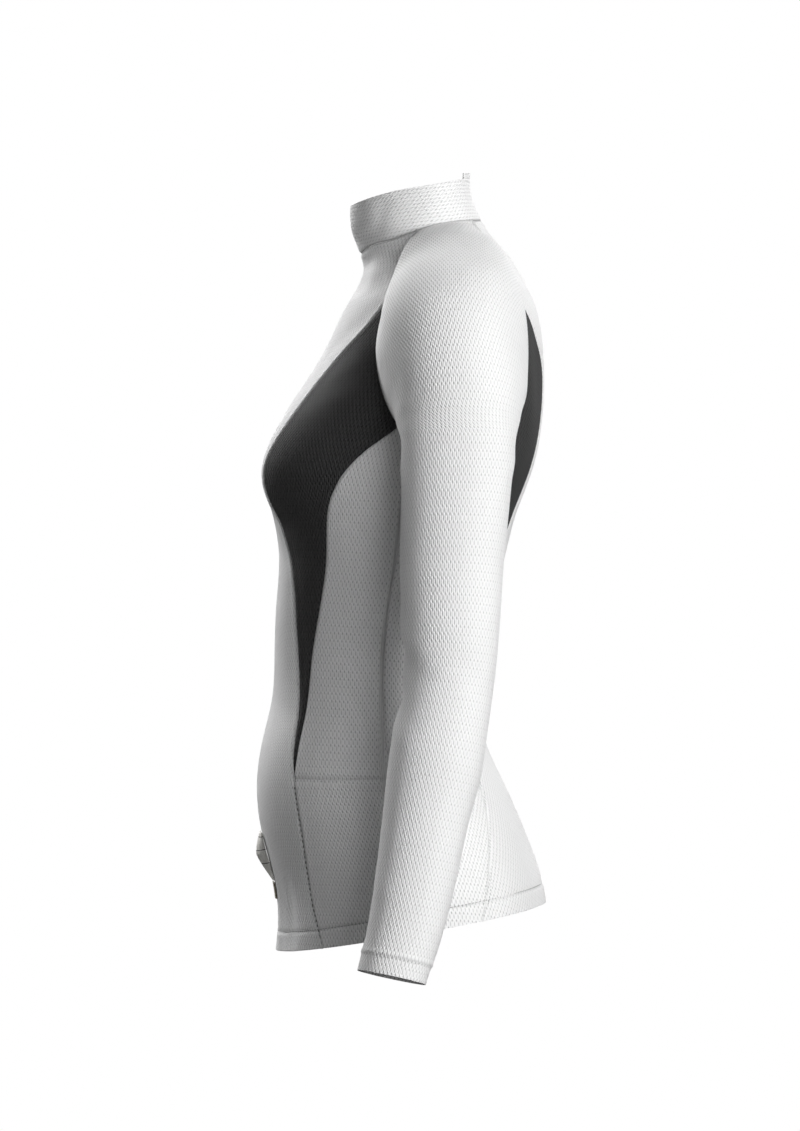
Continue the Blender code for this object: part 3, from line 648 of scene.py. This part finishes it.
# Black contour panels: charcoal honeycomb knit, one over each side of the bust and one down each side
# of the back. Each starts in a tip on the raglan seam, passes the armhole and ends in a tip at the hip.
FRONT_RAGLAN_ARM = (
    # around, height
    (58.8, -60),
    (58.8, -74),
    (60, -89),
    (62.8, -105),
    (66.4, -121),
    (71.8, -141),
    (77.6, -162),
    (81, -172),
)
FRONT_CONTOUR_REAR = (
    # around, height
    (81, -172),
    (74.4, -186),
    (69.8, -197.5),
    (65.6, -213),
    (61.8, -231),
    (58.6, -250),
    (56.8, -276),
    (56.3, -305),
    (54.6, -346),
    (52, -378),
    (50.5, -415),
    (49.6, -445),
    (49, -465),
    (48.2, -484),
)
BACK_RAGLAN_ARM = (
    # around, height
    (141, -64),
    (139, -90),
    (138, -115),
    (137, -138),
    (134.5, -156),
    (128, -169),
)
BACK_CONTOUR_FORE = (
    # around, height
    (128, -169),
    (121, -186),
    (117.5, -205),
    (116.5, -235),
    (118.5, -275),
    (123, -320),
    (128, -370),
    (133, -420),
    (137, -462),
    (139, -484),
)
black_knit = knit("black_knit", yarn=0.06, painted_pit_shade=0.03, painted_seam_shade=0.012, depth=1.2, sheen=0, shine=0.12)
TIP_CUT = 0.6
SIDES = ((1, "left"), (-1, "right"))
front_arm = seam(FRONT_RAGLAN_ARM, ARM_SHARES)
back_arm = seam(BACK_RAGLAN_ARM, ARM_SHARES)
front_rear = seam(FRONT_CONTOUR_REAR, EDGE_SHARES)
back_fore = seam(BACK_CONTOUR_FORE, EDGE_SHARES)


def contour_panel(name, fore, rear, middle, side, held_by):
    """A panel between two edges that meet at its tips, which are cut a little short."""
    overs = spread(22, start=SEAM_SHARES, end=SEAM_SHARES)
    fore, rear = fore.copy(), rear.copy()
    for edge in (fore, rear):
        edge[0] += (edge[1] - edge[0]) * TIP_CUT
        edge[-1] += (edge[-2] - edge[-1]) * TIP_CUT
    top = fore[0] + overs[:, None] * (rear[0] - fore[0])
    bottom = fore[-1] + overs[:, None] * (rear[-1] - fore[-1])
    edges = (fore, rear, top, bottom, overs)
    shades = {"left": 0.4, "right": 0.4}
    panel(name, *edges, middle, black_knit, "black_knit", held_by, side=side, seams=shades)


for side, word in SIDES:
    sewn_to = ["front_centre", f"sleeve_{word}", f"side_front_upper_{word}"]
    contour_panel(f"front_contour_{word}", front_fore, joined(front_arm, front_rear), 45, side, sewn_to)
    sewn_to = ["back_centre", f"sleeve_{word}", f"side_back_{word}"]
    contour_panel(f"back_contour_{word}", back_rear, joined(back_arm, back_fore), 140, side, sewn_to)

# Side panels: white honeycomb knit. Each side has an upper front one under the arm, a lower front one
# below the waist seam, and one behind the side seam from the armhole to the hem.
FRONT_ARMHOLE = ((81, -172), (86, -181), (92, -187), (94, -188))
BACK_ARMHOLE = ((128, -169), (118, -179), (106, -186), (94, -188))
SIDE_SEAM_ABOVE = (
    # around, height
    (94, -188),
    (91.5, -225),
    (90.8, -265),
    (91, -310),
    (91.5, -360),
    (92, -415),
    (93, -462),
    (93.6, -483),
)
SIDE_SEAM_BELOW = ((93.6, -483), (94.6, -530), (95, -580), (95, None))
side_overs = spread(20, start=SEAM_SHARES, end=SEAM_SHARES)
side_above = seam(SIDE_SEAM_ABOVE, EDGE_SHARES)
side_below = seam(SIDE_SEAM_BELOW, HEM_SHARES)
front_hole = seam(FRONT_ARMHOLE, side_overs)
back_hole = seam(BACK_ARMHOLE, 1 - side_overs[::-1])
waist = front_rear[-1] + side_overs[:, None] * (side_above[-1] - front_rear[-1])


def hem_places(start, end):
    return np.array([(a, hem_height(a)) for a in start + side_overs * (end - start)])


front_foot = hem_places(front_low[-1][0], side_below[-1][0])
back_foot = hem_places(side_below[-1][0], back_low[-1][0])
for side, word in SIDES:
    edges = (front_rear, side_above, front_hole, waist, side_overs, 80, white_knit, "white_knit")
    sewn_to = [f"front_contour_{word}", f"sleeve_{word}"]
    # Shares of painted shade along each sewn edge of the side panels.
    shades = {"left": 0.4, "right": 0.1, "top": 0.5, "bottom": 0.14}
    panel(f"side_front_upper_{word}", *edges, sewn_to, side=side, seams=shades)
    edges = (front_low, side_below, waist, front_foot, side_overs, 80, white_knit, "white_knit")
    sewn_to = ["front_centre", f"side_front_upper_{word}"]
    shades = {"left": 0.4, "right": 0.1, "top": 0.14}
    panel(f"side_front_lower_{word}", *edges, sewn_to, side=side, seams=shades, hem=True)
    rear_edge = joined(side_above, side_below), joined(back_fore, back_low)
    edges = (*rear_edge, back_hole[::-1], back_foot, side_overs, 110, white_knit, "white_knit")
    sewn_to = [f"back_contour_{word}", f"sleeve_{word}"]
    shades = {"left": 0.1, "right": 0.1, "top": 0.5}
    panel(f"side_back_{word}", *edges, sewn_to, side=side, seams=shades, hem=True)

# Raglan sleeves: white honeycomb knit, each cut in one from the neck seam over the shoulder to the
# cuff and closed by a seam under the arm. The cuff is the sleeve's own end turned up and stitched.
SLEEVE = (
    # along, centre_x, centre_y, centre_z, lift, half_depth, half_width
    (0, 45, 23, 8, 40, 24, 10),
    (32, 62, 26, -15, 37, 38, 27),
    (68, 82, 30, -39, 36, 50, 42),
    (102, 100, 29, -62, 36, 59, 57),
    (135, 116, 27, -93, 35, 64, 71),
    (182, 138, 29, -131, 28, 62, 73),
    (215, 158, 31, -155, 21, 57, 60),
    (245, 175, 32, -170, 15, 52.5, 46),
    (262, 184, 32, -178, 11, 50.5, 39),
    (279, 189.2, 32, -185.5, 8, 49, 35),
    (323, 192, 30, -230, 7.5, 46.5, 37.5),
    (390, 196.5, 26, -297, 7, 44, 39.5),
    (458, 204, 25, -364, 7, 40.3, 37.5),
    (494, 208, 23.5, -400, 7, 37.8, 36),
    (532, 212, 17, -437, 7, 39, 36.5),
    (565, 215, 11.5, -470, 7, 39.6, 37),
    (596, 218, 6, -500, 6.5, 37.6, 35.5),
    (637, 222.5, -1, -541, 6.5, 35, 33.5),
    (688, 228, -10, -590, 6.5, 32.3, 30.5),
    (752, 234.5, -26.3, -652, 6.5, 29.5, 28.5),
)
FOREARM_TILTS = ((0, 0), (279, 0), (390, 1.5), (494, 6), (565, 10.5), (637, 11.5), (752, 12))
SEAM_EASES = ((0, 0.42), (102, 0.3), (231, 0.2), (279, 0.12))
RING_SQUARE = 2.15
TIP, CORNER, UNDERARM, CUFF = 102, 231, 279, 752
SHOULDER_EASE = 40
SEAM_FADE = 14
SHOULDER_HOLLOW = {"depth": 3.2, "over": 16, "width": 10, "down": 52, "length": 36}
SLEEVE_FOLDS = (
    (((182, -18, -330), (208, -15, -352), (236, 6, -372)), 8, -1.4),
    (((180, -10, -352), (206, -15, -372), (238, 4, -392)), 7, 1.3),
    (((182, -8, -376), (210, -12, -394), (240, 8, -410)), 8, -1.7),
    (((184, -12, -402), (212, -14, -414), (240, -2, -430)), 7, 1.4),
    (((190, -16, -424), (216, -20, -436), (242, -14, -450)), 8, -1.3),
    (((240, 30, -372), (236, 46, -396), (212, 58, -412)), 12, 1.2),
    (((160, -14, -196), (182, -18, -206), (206, -12, -222)), 8, -1.3),
    (((158, 66, -196), (186, 78, -204), (212, 72, -216)), 9, -1.3),
    (((196, -24, -124), (180, -34, -140), (166, -30, -160)), 8, 1.2),
    (((206, -14, -150), (188, -26, -164), (168, -24, -180)), 8, -1.2),
    (((104, -26, -74), (126, -30, -84), (150, -22, -88)), 10, 1.0),
    (((112, -34, -96), (134, -36, -108), (158, -28, -118)), 10, -1.2),
    (((222, -48, -560), (244, -42, -572), (256, -22, -580)), 9, -0.9),
    (((214, -30, -600), (226, -52, -612), (246, -50, -622)), 9, 0.8),
    (((242, 6, -600), (234, 8, -622), (220, 0, -634)), 9, -0.8),
)
ring_at = curve_through(SLEEVE)
tilt_at = curve_through(FOREARM_TILTS)


def ring_frame(along):
    """Centre, depth axis, outward axis and half sizes of the sleeve's ring at a distance along it."""
    x, y, z, lift, half_depth, half_width = ring_at(along)
    tilt, lift = math.radians(tilt_at(along)[0]), math.radians(lift)
    depth_axis = np.array((0, math.cos(tilt), -math.sin(tilt)))
    outward = np.array((math.cos(lift), 0, math.sin(lift)))
    return np.array((x, y, z)), depth_axis, outward, half_depth, half_width


def ring_point(ring, turn):
    """Turn 0 is the ring's front, 90 degrees its outer side, 180 its back."""
    centre, depth_axis, outward, half_depth, half_width = ring
    across, forward = rounded(math.degrees(turn), RING_SQUARE)
    forward = math.copysign(forward, math.cos(turn))
    across = math.copysign(across, math.sin(turn))
    return centre - depth_axis * (half_depth * forward) + outward * (half_width * across)


def ring_turn(ring, place):
    centre, depth_axis, outward, half_depth, half_width = ring
    offset = place - centre
    return math.atan2(offset @ outward / half_width, -(offset @ depth_axis) / half_depth)


def seam_ease(along):
    table = np.array(SEAM_EASES)
    return float(np.interp(along, table[:, 0], table[:, 1]))


def arc_between(ring, front, back, shares, width):
    """The ring's arc from the front seam over the outer side to the back seam, drawn onto both."""
    first, last = ring_turn(ring, front), ring_turn(ring, back)
    if last <= 0:
        last += 2 * math.pi
    front_error = front - ring_point(ring, first)
    back_error = back - ring_point(ring, last)
    row = []
    for share in shares:
        place = ring_point(ring, first + share * (last - first))
        row.append(place + front_error * ease(share / width) + back_error * ease((1 - share) / width))
    return row


def sleeve_points(shares):
    """Rows of points from the neck to the cuff: arcs over the shoulder, then rings down the arm."""
    hole_shares = spread(24)
    front = joined(front_neck, front_arm, seam(FRONT_ARMHOLE, hole_shares))
    back = joined(back_neck, back_arm, seam(BACK_ARMHOLE, hole_shares))
    runs = [NECK_SHARES * TIP, TIP + ARM_SHARES * (CORNER - TIP)]
    runs.append(CORNER + hole_shares * (UNDERARM - CORNER))
    arounds = front[0][0] + shares * (back[0][0] - front[0][0])
    neck_row = [neck_point(around) for around in arounds]
    points, neck_offsets = [], None
    for i, along in enumerate(joined(*runs)):
        ends = body_point(*front[i]), body_point(*back[i])
        row = arc_between(ring_frame(along), *ends, shares, seam_ease(along))
        if i == 0:
            neck_offsets = [there - here for there, here in zip(neck_row, row)]
        fade = ease(along / SHOULDER_EASE)
        points.append([place + offset * fade for place, offset in zip(row, neck_offsets)])
    underarm, ring = points[-1][0], ring_frame(UNDERARM)
    start, width = ring_turn(ring, underarm), seam_ease(UNDERARM)
    error = underarm - ring_point(ring, start)
    closed_from = len(points) - 1
    lower = spread(100, end=(0.002, 0.006, 0.012, 0.026, 0.029, 0.032, 0.035, 0.038))
    for along in UNDERARM + lower[1:] * (CUFF - UNDERARM):
        ring, fade = ring_frame(along), ease((along - UNDERARM) / SEAM_FADE)
        row = []
        for share in shares:
            near = max(ease(share / width), ease((1 - share) / width))
            row.append(ring_point(ring, start + share * 2 * math.pi) + error * fade * near)
        row[-1] = row[0]
        points.append(row)
    return np.array(points), closed_from


sleeve_knit = knit("sleeve_knit", yarn=0.88, painted_pit_shade=0.62, painted_seam_shade=0.14, stitch=(3.5, 7.0), depth=0.54)
sleeve_shares = spread(60, start=(0.004, 0.009), end=(0.004, 0.009))
arm_points, arm_closed = sleeve_points(sleeve_shares)
arm_lifts, arm_shades = sewn_edges(arm_points, {"left": 0.45, "right": 0.3, "top": 0.5}, hem=True)
arm_lengths = np.zeros((*arm_points.shape[:2], 2))
arm_lengths[..., 0] = lengths_along(arm_points, axis=1)
half_way = np.array([np.interp(0.5, sleeve_shares, row) for row in arm_lengths[..., 0]])
arm_lengths[..., 0] -= half_way[:, None]
outer = int(np.argmin(abs(sleeve_shares - 0.5)))
arm_lengths[..., 1] = -lengths_along(arm_points[:, outer])[:, None]
arm_over = arm_lengths[..., 0] - arm_lengths[:, :1, 0]
arm_down = -arm_lengths[..., 1]
hollow = bell(arm_over - SHOULDER_HOLLOW["over"], SHOULDER_HOLLOW["width"])
hollow *= bell(arm_down - SHOULDER_HOLLOW["down"], SHOULDER_HOLLOW["length"])
arm_lifts -= SHOULDER_HOLLOW["depth"] * hollow
arm_lengths *= MM
sewn_to = ["collar", "front_centre", "back_centre"]
arm = (arm_points, arm_lengths, sleeve_knit, "white_knit", sewn_to)
drape = {"edges": (arm_lifts, arm_shades), "folds": SLEEVE_FOLDS, "closed_from": arm_closed}
for side, word in SIDES:
    sew(f"sleeve_{word}", *arm, side=side, **drape)

# Stand-up collar: a doubled band of the same knit, turned on the slant, closed round the neck and
# sewn on at the neck seam, with a low tab cut on at the centre back.
COLLAR = {"half_width": 52, "front": 63.9, "back": 44, "swell": 3.5, "hollow": 3}
TAB = {"turn": 151, "height": 5.3}
COLLAR_HEIGHTS = (
    # y, height
    (-63.9, 27.9),
    (-50, 32.3),
    (-36, 36),
    (-18, 40),
    (1, 43),
    (19, 46.2),
    (36, 50),
    (44, 52),
)
COLLAR_FOLDS = (
    (((0, -57, -6), (26, -54, -4), (46, -36, 2)), 5, -1.0),
    (((0, -61, 8), (30, -55, 8), (52, -22, 10)), 7, 0.7),
    (((40, -40, 0), (46, -36, 18), (48, -36, 34)), 6, -0.8),
)
COLLAR_WALL = 2.0
MEASURED_ROW = 8
collar_height_at = curve_through(COLLAR_HEIGHTS)
collar_knit = knit("collar_knit", yarn=0.88, painted_pit_shade=0.58, painted_seam_shade=0.14, stitch=(3.6, 7.6), slant=68, depth=0.5)


def collar_point(around, rise):
    """Rise 0 is the neck seam and 1 the collar's top edge."""
    foot = neck_point(around)
    across, forward = rounded(abs(around), NECK["square"])
    front = abs(around) <= 90
    y = -COLLAR["front"] * forward if front else COLLAR["back"] * forward
    x = math.copysign(COLLAR["half_width"] * across, around)
    top = np.array((x, y, collar_height_at(y)[0]))
    swell = -COLLAR["swell"] if front else -COLLAR["hollow"]
    bow = np.array((0, swell * forward**2 * 4 * rise * (1 - rise), 0))
    return foot * (1 - rise) + top * rise + bow


collar_turns = np.array(sorted({*np.linspace(-180, 180, 145), TAB["turn"], -TAB["turn"]}))
collar_rises = 1 - spread(16, start=(0.02, 0.05), end=(0.02, 0.05))
band = np.array([[collar_point(turn, rise) for turn in collar_turns] for rise in collar_rises])
band[:, -1] = band[:, 0]
band_lengths = np.zeros((*band.shape[:2], 2))
band_lengths[..., 0] = lengths_along(band[MEASURED_ROW])
band_lengths[..., 1] = -lengths_along(band)
band_lengths *= MM
band_edges = sewn_edges(band, {"bottom": 0.6})


def raise_tab(bm, spots, uv_layer):
    """Draws the tab up from the top edge at the centre back."""
    within = [abs(turn) >= TAB["turn"] for turn in collar_turns]
    raised = {v for v, (row, column) in spots.items() if row == 0 and within[column]}
    edges = [edge for edge in bm.edges if edge.is_boundary and all(v in raised for v in edge.verts)]
    for _ in range(2):
        made = bmesh.ops.extrude_edge_only(bm, edges=edges)
        edges = [item for item in made["geom"] if isinstance(item, bmesh.types.BMEdge)]
        new = [item for item in made["geom"] if isinstance(item, bmesh.types.BMVert)]
        bmesh.ops.translate(bm, vec=(0, 0, TAB["height"] / 2), verts=new)
        for face in {face for v in new for face in v.link_faces}:
            for loop in face.loops:
                if loop.vert not in new:
                    continue
                for below in (loop.link_loop_next, loop.link_loop_prev):
                    if below.vert not in new:
                        loop[uv_layer].uv = below[uv_layer].uv + Vector((0, TAB["height"] / 2 * MM))
        edges = [edge for edge in edges if edge.is_boundary and all(v in new for v in edge.verts)]


collar = sew(
    "collar",
    band,
    band_lengths,
    collar_knit,
    "collar_knit",
    ["front_centre", "back_centre", "sleeve_left", "sleeve_right"],
    edges=band_edges,
    folds=COLLAR_FOLDS,
    closed_from=0,
    tab=raise_tab,
)
collar.modifiers["wall"].thickness = COLLAR_WALL * MM
collar.modifiers["edge"].width = 0.7 * MM
collar.modifiers["edge"].segments = 3

# Sewn label and size patch: a cream satin tape folded over once so that it stands off the belly, and
# a small flat brown tape below it, both left plain and sewn on by their ends.
LABEL_AROUND = (-1.5, 13.5)
LABEL_HEIGHTS = (-534, -577)
LABEL_FOLD = 0.42
LABEL_STANDS_OFF = 8
PATCH_AROUND = (-1, 11)
PATCH_HEIGHTS = (-579, -594)
TAPE = 0.9
LAY_GAP = 0.9


def tape_material(name, base, stripe, stripes, roughness):
    """Woven tape: a fine weave, with thin woven lines across it at the given heights."""
    material, shader, uv = cloth_material(name, roughness, 0.1)
    across, down = uv.split()
    weave = (across * 9000.0).sum("SINE") * (down * 9000.0).sum("SINE")
    mask = weave * 0.04
    for height, width in stripes:
        near = down.sum("COMPARE", height * MM)
        near.socket.node.inputs[2].default_value = width * MM
        mask = mask + near
    colour = mixed(uv, mask, (*base, 1), (*stripe, 1))
    bump = uv.node("ShaderNodeBump", {}, {"Height": weave, "Distance": 0.08 * MM, "Strength": 0.6})
    uv.tree.links.new(colour.socket, shader.inputs["Base Color"])
    uv.tree.links.new(bump.socket, shader.inputs["Normal"])
    return material


def outward(around, height, step):
    """A point of the body and its direction outward, from points a step round and below."""
    here = body_point(around, height)
    normal = np.cross(body_point(around, height - 1) - here, body_point(around + step, height) - here)
    normal /= np.linalg.norm(normal)
    if normal @ (here - np.array((0, BODY_AXIS_Y, height))) < 0:
        normal = -normal
    return here, normal


def laid_tape(name, arounds, heights, lift, material, slot, cells):
    """A small sheet laid on the front: lift gives its height off the cloth over its two shares."""
    shares = np.linspace(0, 1, cells + 1)
    points, lengths = (np.zeros((cells + 1, cells + 1, size)) for size in (3, 2))
    for i, down in enumerate(shares):
        for j, over in enumerate(shares):
            around = arounds[0] + over * (arounds[1] - arounds[0])
            height = heights[0] + down * (heights[1] - heights[0])
            here, normal = outward(around, height, 0.5)
            points[i, j] = here + normal * (LAY_GAP + TAPE + lift(over, down))
            lengths[i, j] = (here[0] * MM, (height - heights[0]) * MM)
    piece = sew(name, points, lengths, material, slot, ["front_centre"])
    piece.modifiers["wall"].thickness = TAPE * MM
    piece.modifiers["edge"].width = 0.25 * MM
    return piece


def label_lift(over, down):
    """A soft billow across, with one level fold."""
    fold = down / LABEL_FOLD if down < LABEL_FOLD else (1 - down) / (1 - LABEL_FOLD)
    return LABEL_STANDS_OFF * (1 - (1 - fold) ** 1.35) * math.sin(math.pi * over) ** 0.7


LABEL_LINES = ((-4, 0.35), (-15, 0.35), (-27, 0.35))
PATCH_LINES = ((-3, 0.5), (-12, 0.5))
label_cloth = tape_material("label_cloth", (0.93, 0.92, 0.87), (0.05, 0.05, 0.05), LABEL_LINES, 0.5)
patch_cloth = tape_material("patch_cloth", (0.3, 0.26, 0.19), (0.16, 0.13, 0.09), PATCH_LINES, 0.6)
laid_tape("care_label", LABEL_AROUND, LABEL_HEIGHTS, label_lift, label_cloth, "label_cloth", 28)
laid_tape("size_patch", PATCH_AROUND, PATCH_HEIGHTS, lambda *_: 0, patch_cloth, "patch_cloth", 12)

# Stitching: grey polyester thread. One row closes the hem and each cuff, long stitches run down the front
# princess seams, painted near black as the shadow between them, and two rows lie along the back ones and
# the front end of the waist seams.
THREAD = {"radius": 0.42, "raised": 0.1}
# Each stitch's length and the gap after it, in mm.
HEM_STITCH, WAIST_STITCH, FRONT_STITCH, BACK_STITCH = (2.8, 0.8), (2.4, 0.4), (3.0, 1.7), (2.9, 0.3)
threads = {}
for name, shade in (("grey_thread", 0.38), ("pale_thread", 0.42), ("dark_thread", 0.06)):
    threads[name], _ = shaded(name, {"Base Color": grey(shade), "Roughness": 0.5})


def between(runs, table, at):
    return np.array([np.interp(at, runs, table[:, k]) for k in range(3)])


def stitch_row(name, points, normals, stitch, sides=(1,), thread="grey_thread"):
    """A row of short thread stitches, each a small rounded body, along points in mm."""
    length, gap = stitch
    runs = lengths_along(points)
    count = max(int(runs[-1] // (length + gap)), 1)
    step = runs[-1] / count
    bm = bmesh.new()
    for side in sides:
        for i in range(count):
            middle = (i + 0.5) * step
            ends = [between(runs, points, middle + half) for half in (-0.5, 0.5)]
            along = Vector(ends[1] - ends[0]).normalized()
            normal = Vector(between(runs, normals, middle)).normalized()
            across = along.cross(normal).normalized()
            centre = Vector((ends[0] + ends[1]) / 2) + normal * THREAD["raised"]
            turn = Matrix((along, across, normal)).transposed().to_4x4()
            size = Matrix.Diagonal((length / 2, THREAD["radius"], THREAD["radius"], 1))
            place = Matrix.Translation(centre) @ turn @ size
            if side < 0:
                place = Matrix.Diagonal((-1, 1, 1, 1)) @ place
            bmesh.ops.create_icosphere(bm, subdivisions=1, radius=1, matrix=place)
    bmesh.ops.scale(bm, vec=(MM, MM, MM), verts=bm.verts)
    bmesh.ops.recalc_face_normals(bm, faces=bm.faces)
    piece = finished(bm, name, threads[thread])
    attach(piece, "root")


def body_run(places, lift=-0.35):
    """Points and outward directions along places on the body."""
    points, normals = [], []
    for around, height in places:
        here, normal = outward(around, height, 0.4)
        points.append(here + normal * lift)
        normals.append(normal)
    return np.array(points), np.array(normals)


hem_turns = np.linspace(-179.9, 179.9, 361)
stitch_row("hem_stitching", *body_run([(a, hem_height(a) + HEM_DEPTH) for a in hem_turns]), HEM_STITCH)
cuff_turns = np.linspace(0, 2 * math.pi, 121)
cuff_ring = ring_frame(CUFF - HEM_DEPTH + 0.5)
cuff_points = np.array([ring_point(cuff_ring, turn) for turn in cuff_turns])
cuff_normals = cuff_points - cuff_ring[0]
cuff_normals /= np.linalg.norm(cuff_normals, axis=1)[:, None]
cuff_points -= cuff_normals * 0.35
for side, word in SIDES:
    stitch_row(f"cuff_stitching_{word}", cuff_points, cuff_normals, HEM_STITCH, sides=(side,))
for offset, word in ((-1.1, "fore"), (1.1, "rear")):
    run = body_run([(a + offset, h) for a, h in seam(BACK_PRINCESS, np.linspace(0.02, 0.99, 40))], -0.2)
    stitch_row(f"princess_stitching_{word}", *run, BACK_STITCH, (1, -1), "pale_thread")
for offset, word in ((-2, "low"), (2, "high")):
    run = body_run([(a, h + offset) for a, h in waist[: len(waist) // 5]], -0.1)
    stitch_row(f"waist_stitching_{word}", *run, WAIST_STITCH, (1, -1))
# The front princess stitches are painted near black as the shadow between them.
run = body_run(seam(FRONT_PRINCESS, np.linspace(0.04, 0.94, 60)), -0.3)
stitch_row("front_princess_stitching", *run, FRONT_STITCH, (1, -1), "dark_thread")

# Photograph's setting: a plain white floor and surround that glow evenly, and ten big round soft lamps.
# The strong ones stand behind and at the wearer's left, and weak ones fill in from the front, above
# and below. The camera looks level at the wearer's left side.
CAMERA_PLACE = (6.0, -0.0189, -0.2957)
CAMERA_LENS = 212.2
WORLD_GLOW = 0.01
FLOOR_HEIGHT = -0.82
camera = bpy.data.objects.new("camera", bpy.data.cameras.new("camera"))
camera.location = CAMERA_PLACE
camera.rotation_euler = (math.radians(90), 0, math.radians(90))
camera.data.sensor_width = 36
camera.data.lens = CAMERA_LENS
scene.collection.objects.link(camera)
scene.camera = camera
scene.view_settings.view_transform = "Standard"

world = bpy.data.worlds.new("studio")
world.use_nodes = True
backdrop = world.node_tree.nodes["Background"].inputs
backdrop["Color"].default_value = grey(1)
backdrop["Strength"].default_value = WORLD_GLOW
scene.world = world

floor_mesh = bmesh.new()
bmesh.ops.create_circle(floor_mesh, cap_ends=True, segments=96, radius=14)
bmesh.ops.translate(floor_mesh, vec=(0, 0, FLOOR_HEIGHT), verts=floor_mesh.verts)
dome_mesh = bmesh.new()
bmesh.ops.create_uvsphere(dome_mesh, u_segments=64, v_segments=32, radius=15)
for name, shape in (("floor", floor_mesh), ("surround", dome_mesh)):
    values = {"Base Color": grey(0), "Roughness": 1, "Specular IOR Level": 0}
    glow, _ = shaded(name, {**values, "Emission Color": grey(1), "Emission Strength": 1})
    thing = finished(shape, name, glow)
    thing.visible_diffuse = thing.visible_glossy = thing.visible_shadow = False

LIGHTS = (
    # name, degrees round from the wearer's left towards the back, degrees up, watts
    ("key", 22, 5, 44),
    ("key_rear", 48, 8, 104),
    ("high_rear", 45, 40, 28),
    ("behind", 160, 20, 82),
    ("rim", -150, 35, 180),
    ("top", 0, 85, 24),
    ("front_high", -110, 35, 10),
    ("front", -135, 10, 26),
    ("low", 0, -25, 14),
    ("low_front", -90, -25, 11),
)
LAMPS_AIM = Vector((0.05, 0, -0.3))
LAMP_DISTANCE = 4
LAMP_SIZE = 1.8
for name, turn, rise, watts in LIGHTS:
    turn, rise = math.radians(turn), math.radians(rise)
    way = Vector((math.cos(turn) * math.cos(rise), math.sin(turn) * math.cos(rise), math.sin(rise)))
    lamp = bpy.data.objects.new(name, bpy.data.lights.new(name, "AREA"))
    lamp.data.shape = "DISK"
    lamp.data.size = LAMP_SIZE
    lamp.data.energy = watts
    lamp.location = LAMPS_AIM + way * LAMP_DISTANCE
    lamp.rotation_euler = (-way).to_track_quat("-Z", "Y").to_euler()
    lamp.visible_camera = False
    scene.collection.objects.link(lamp)
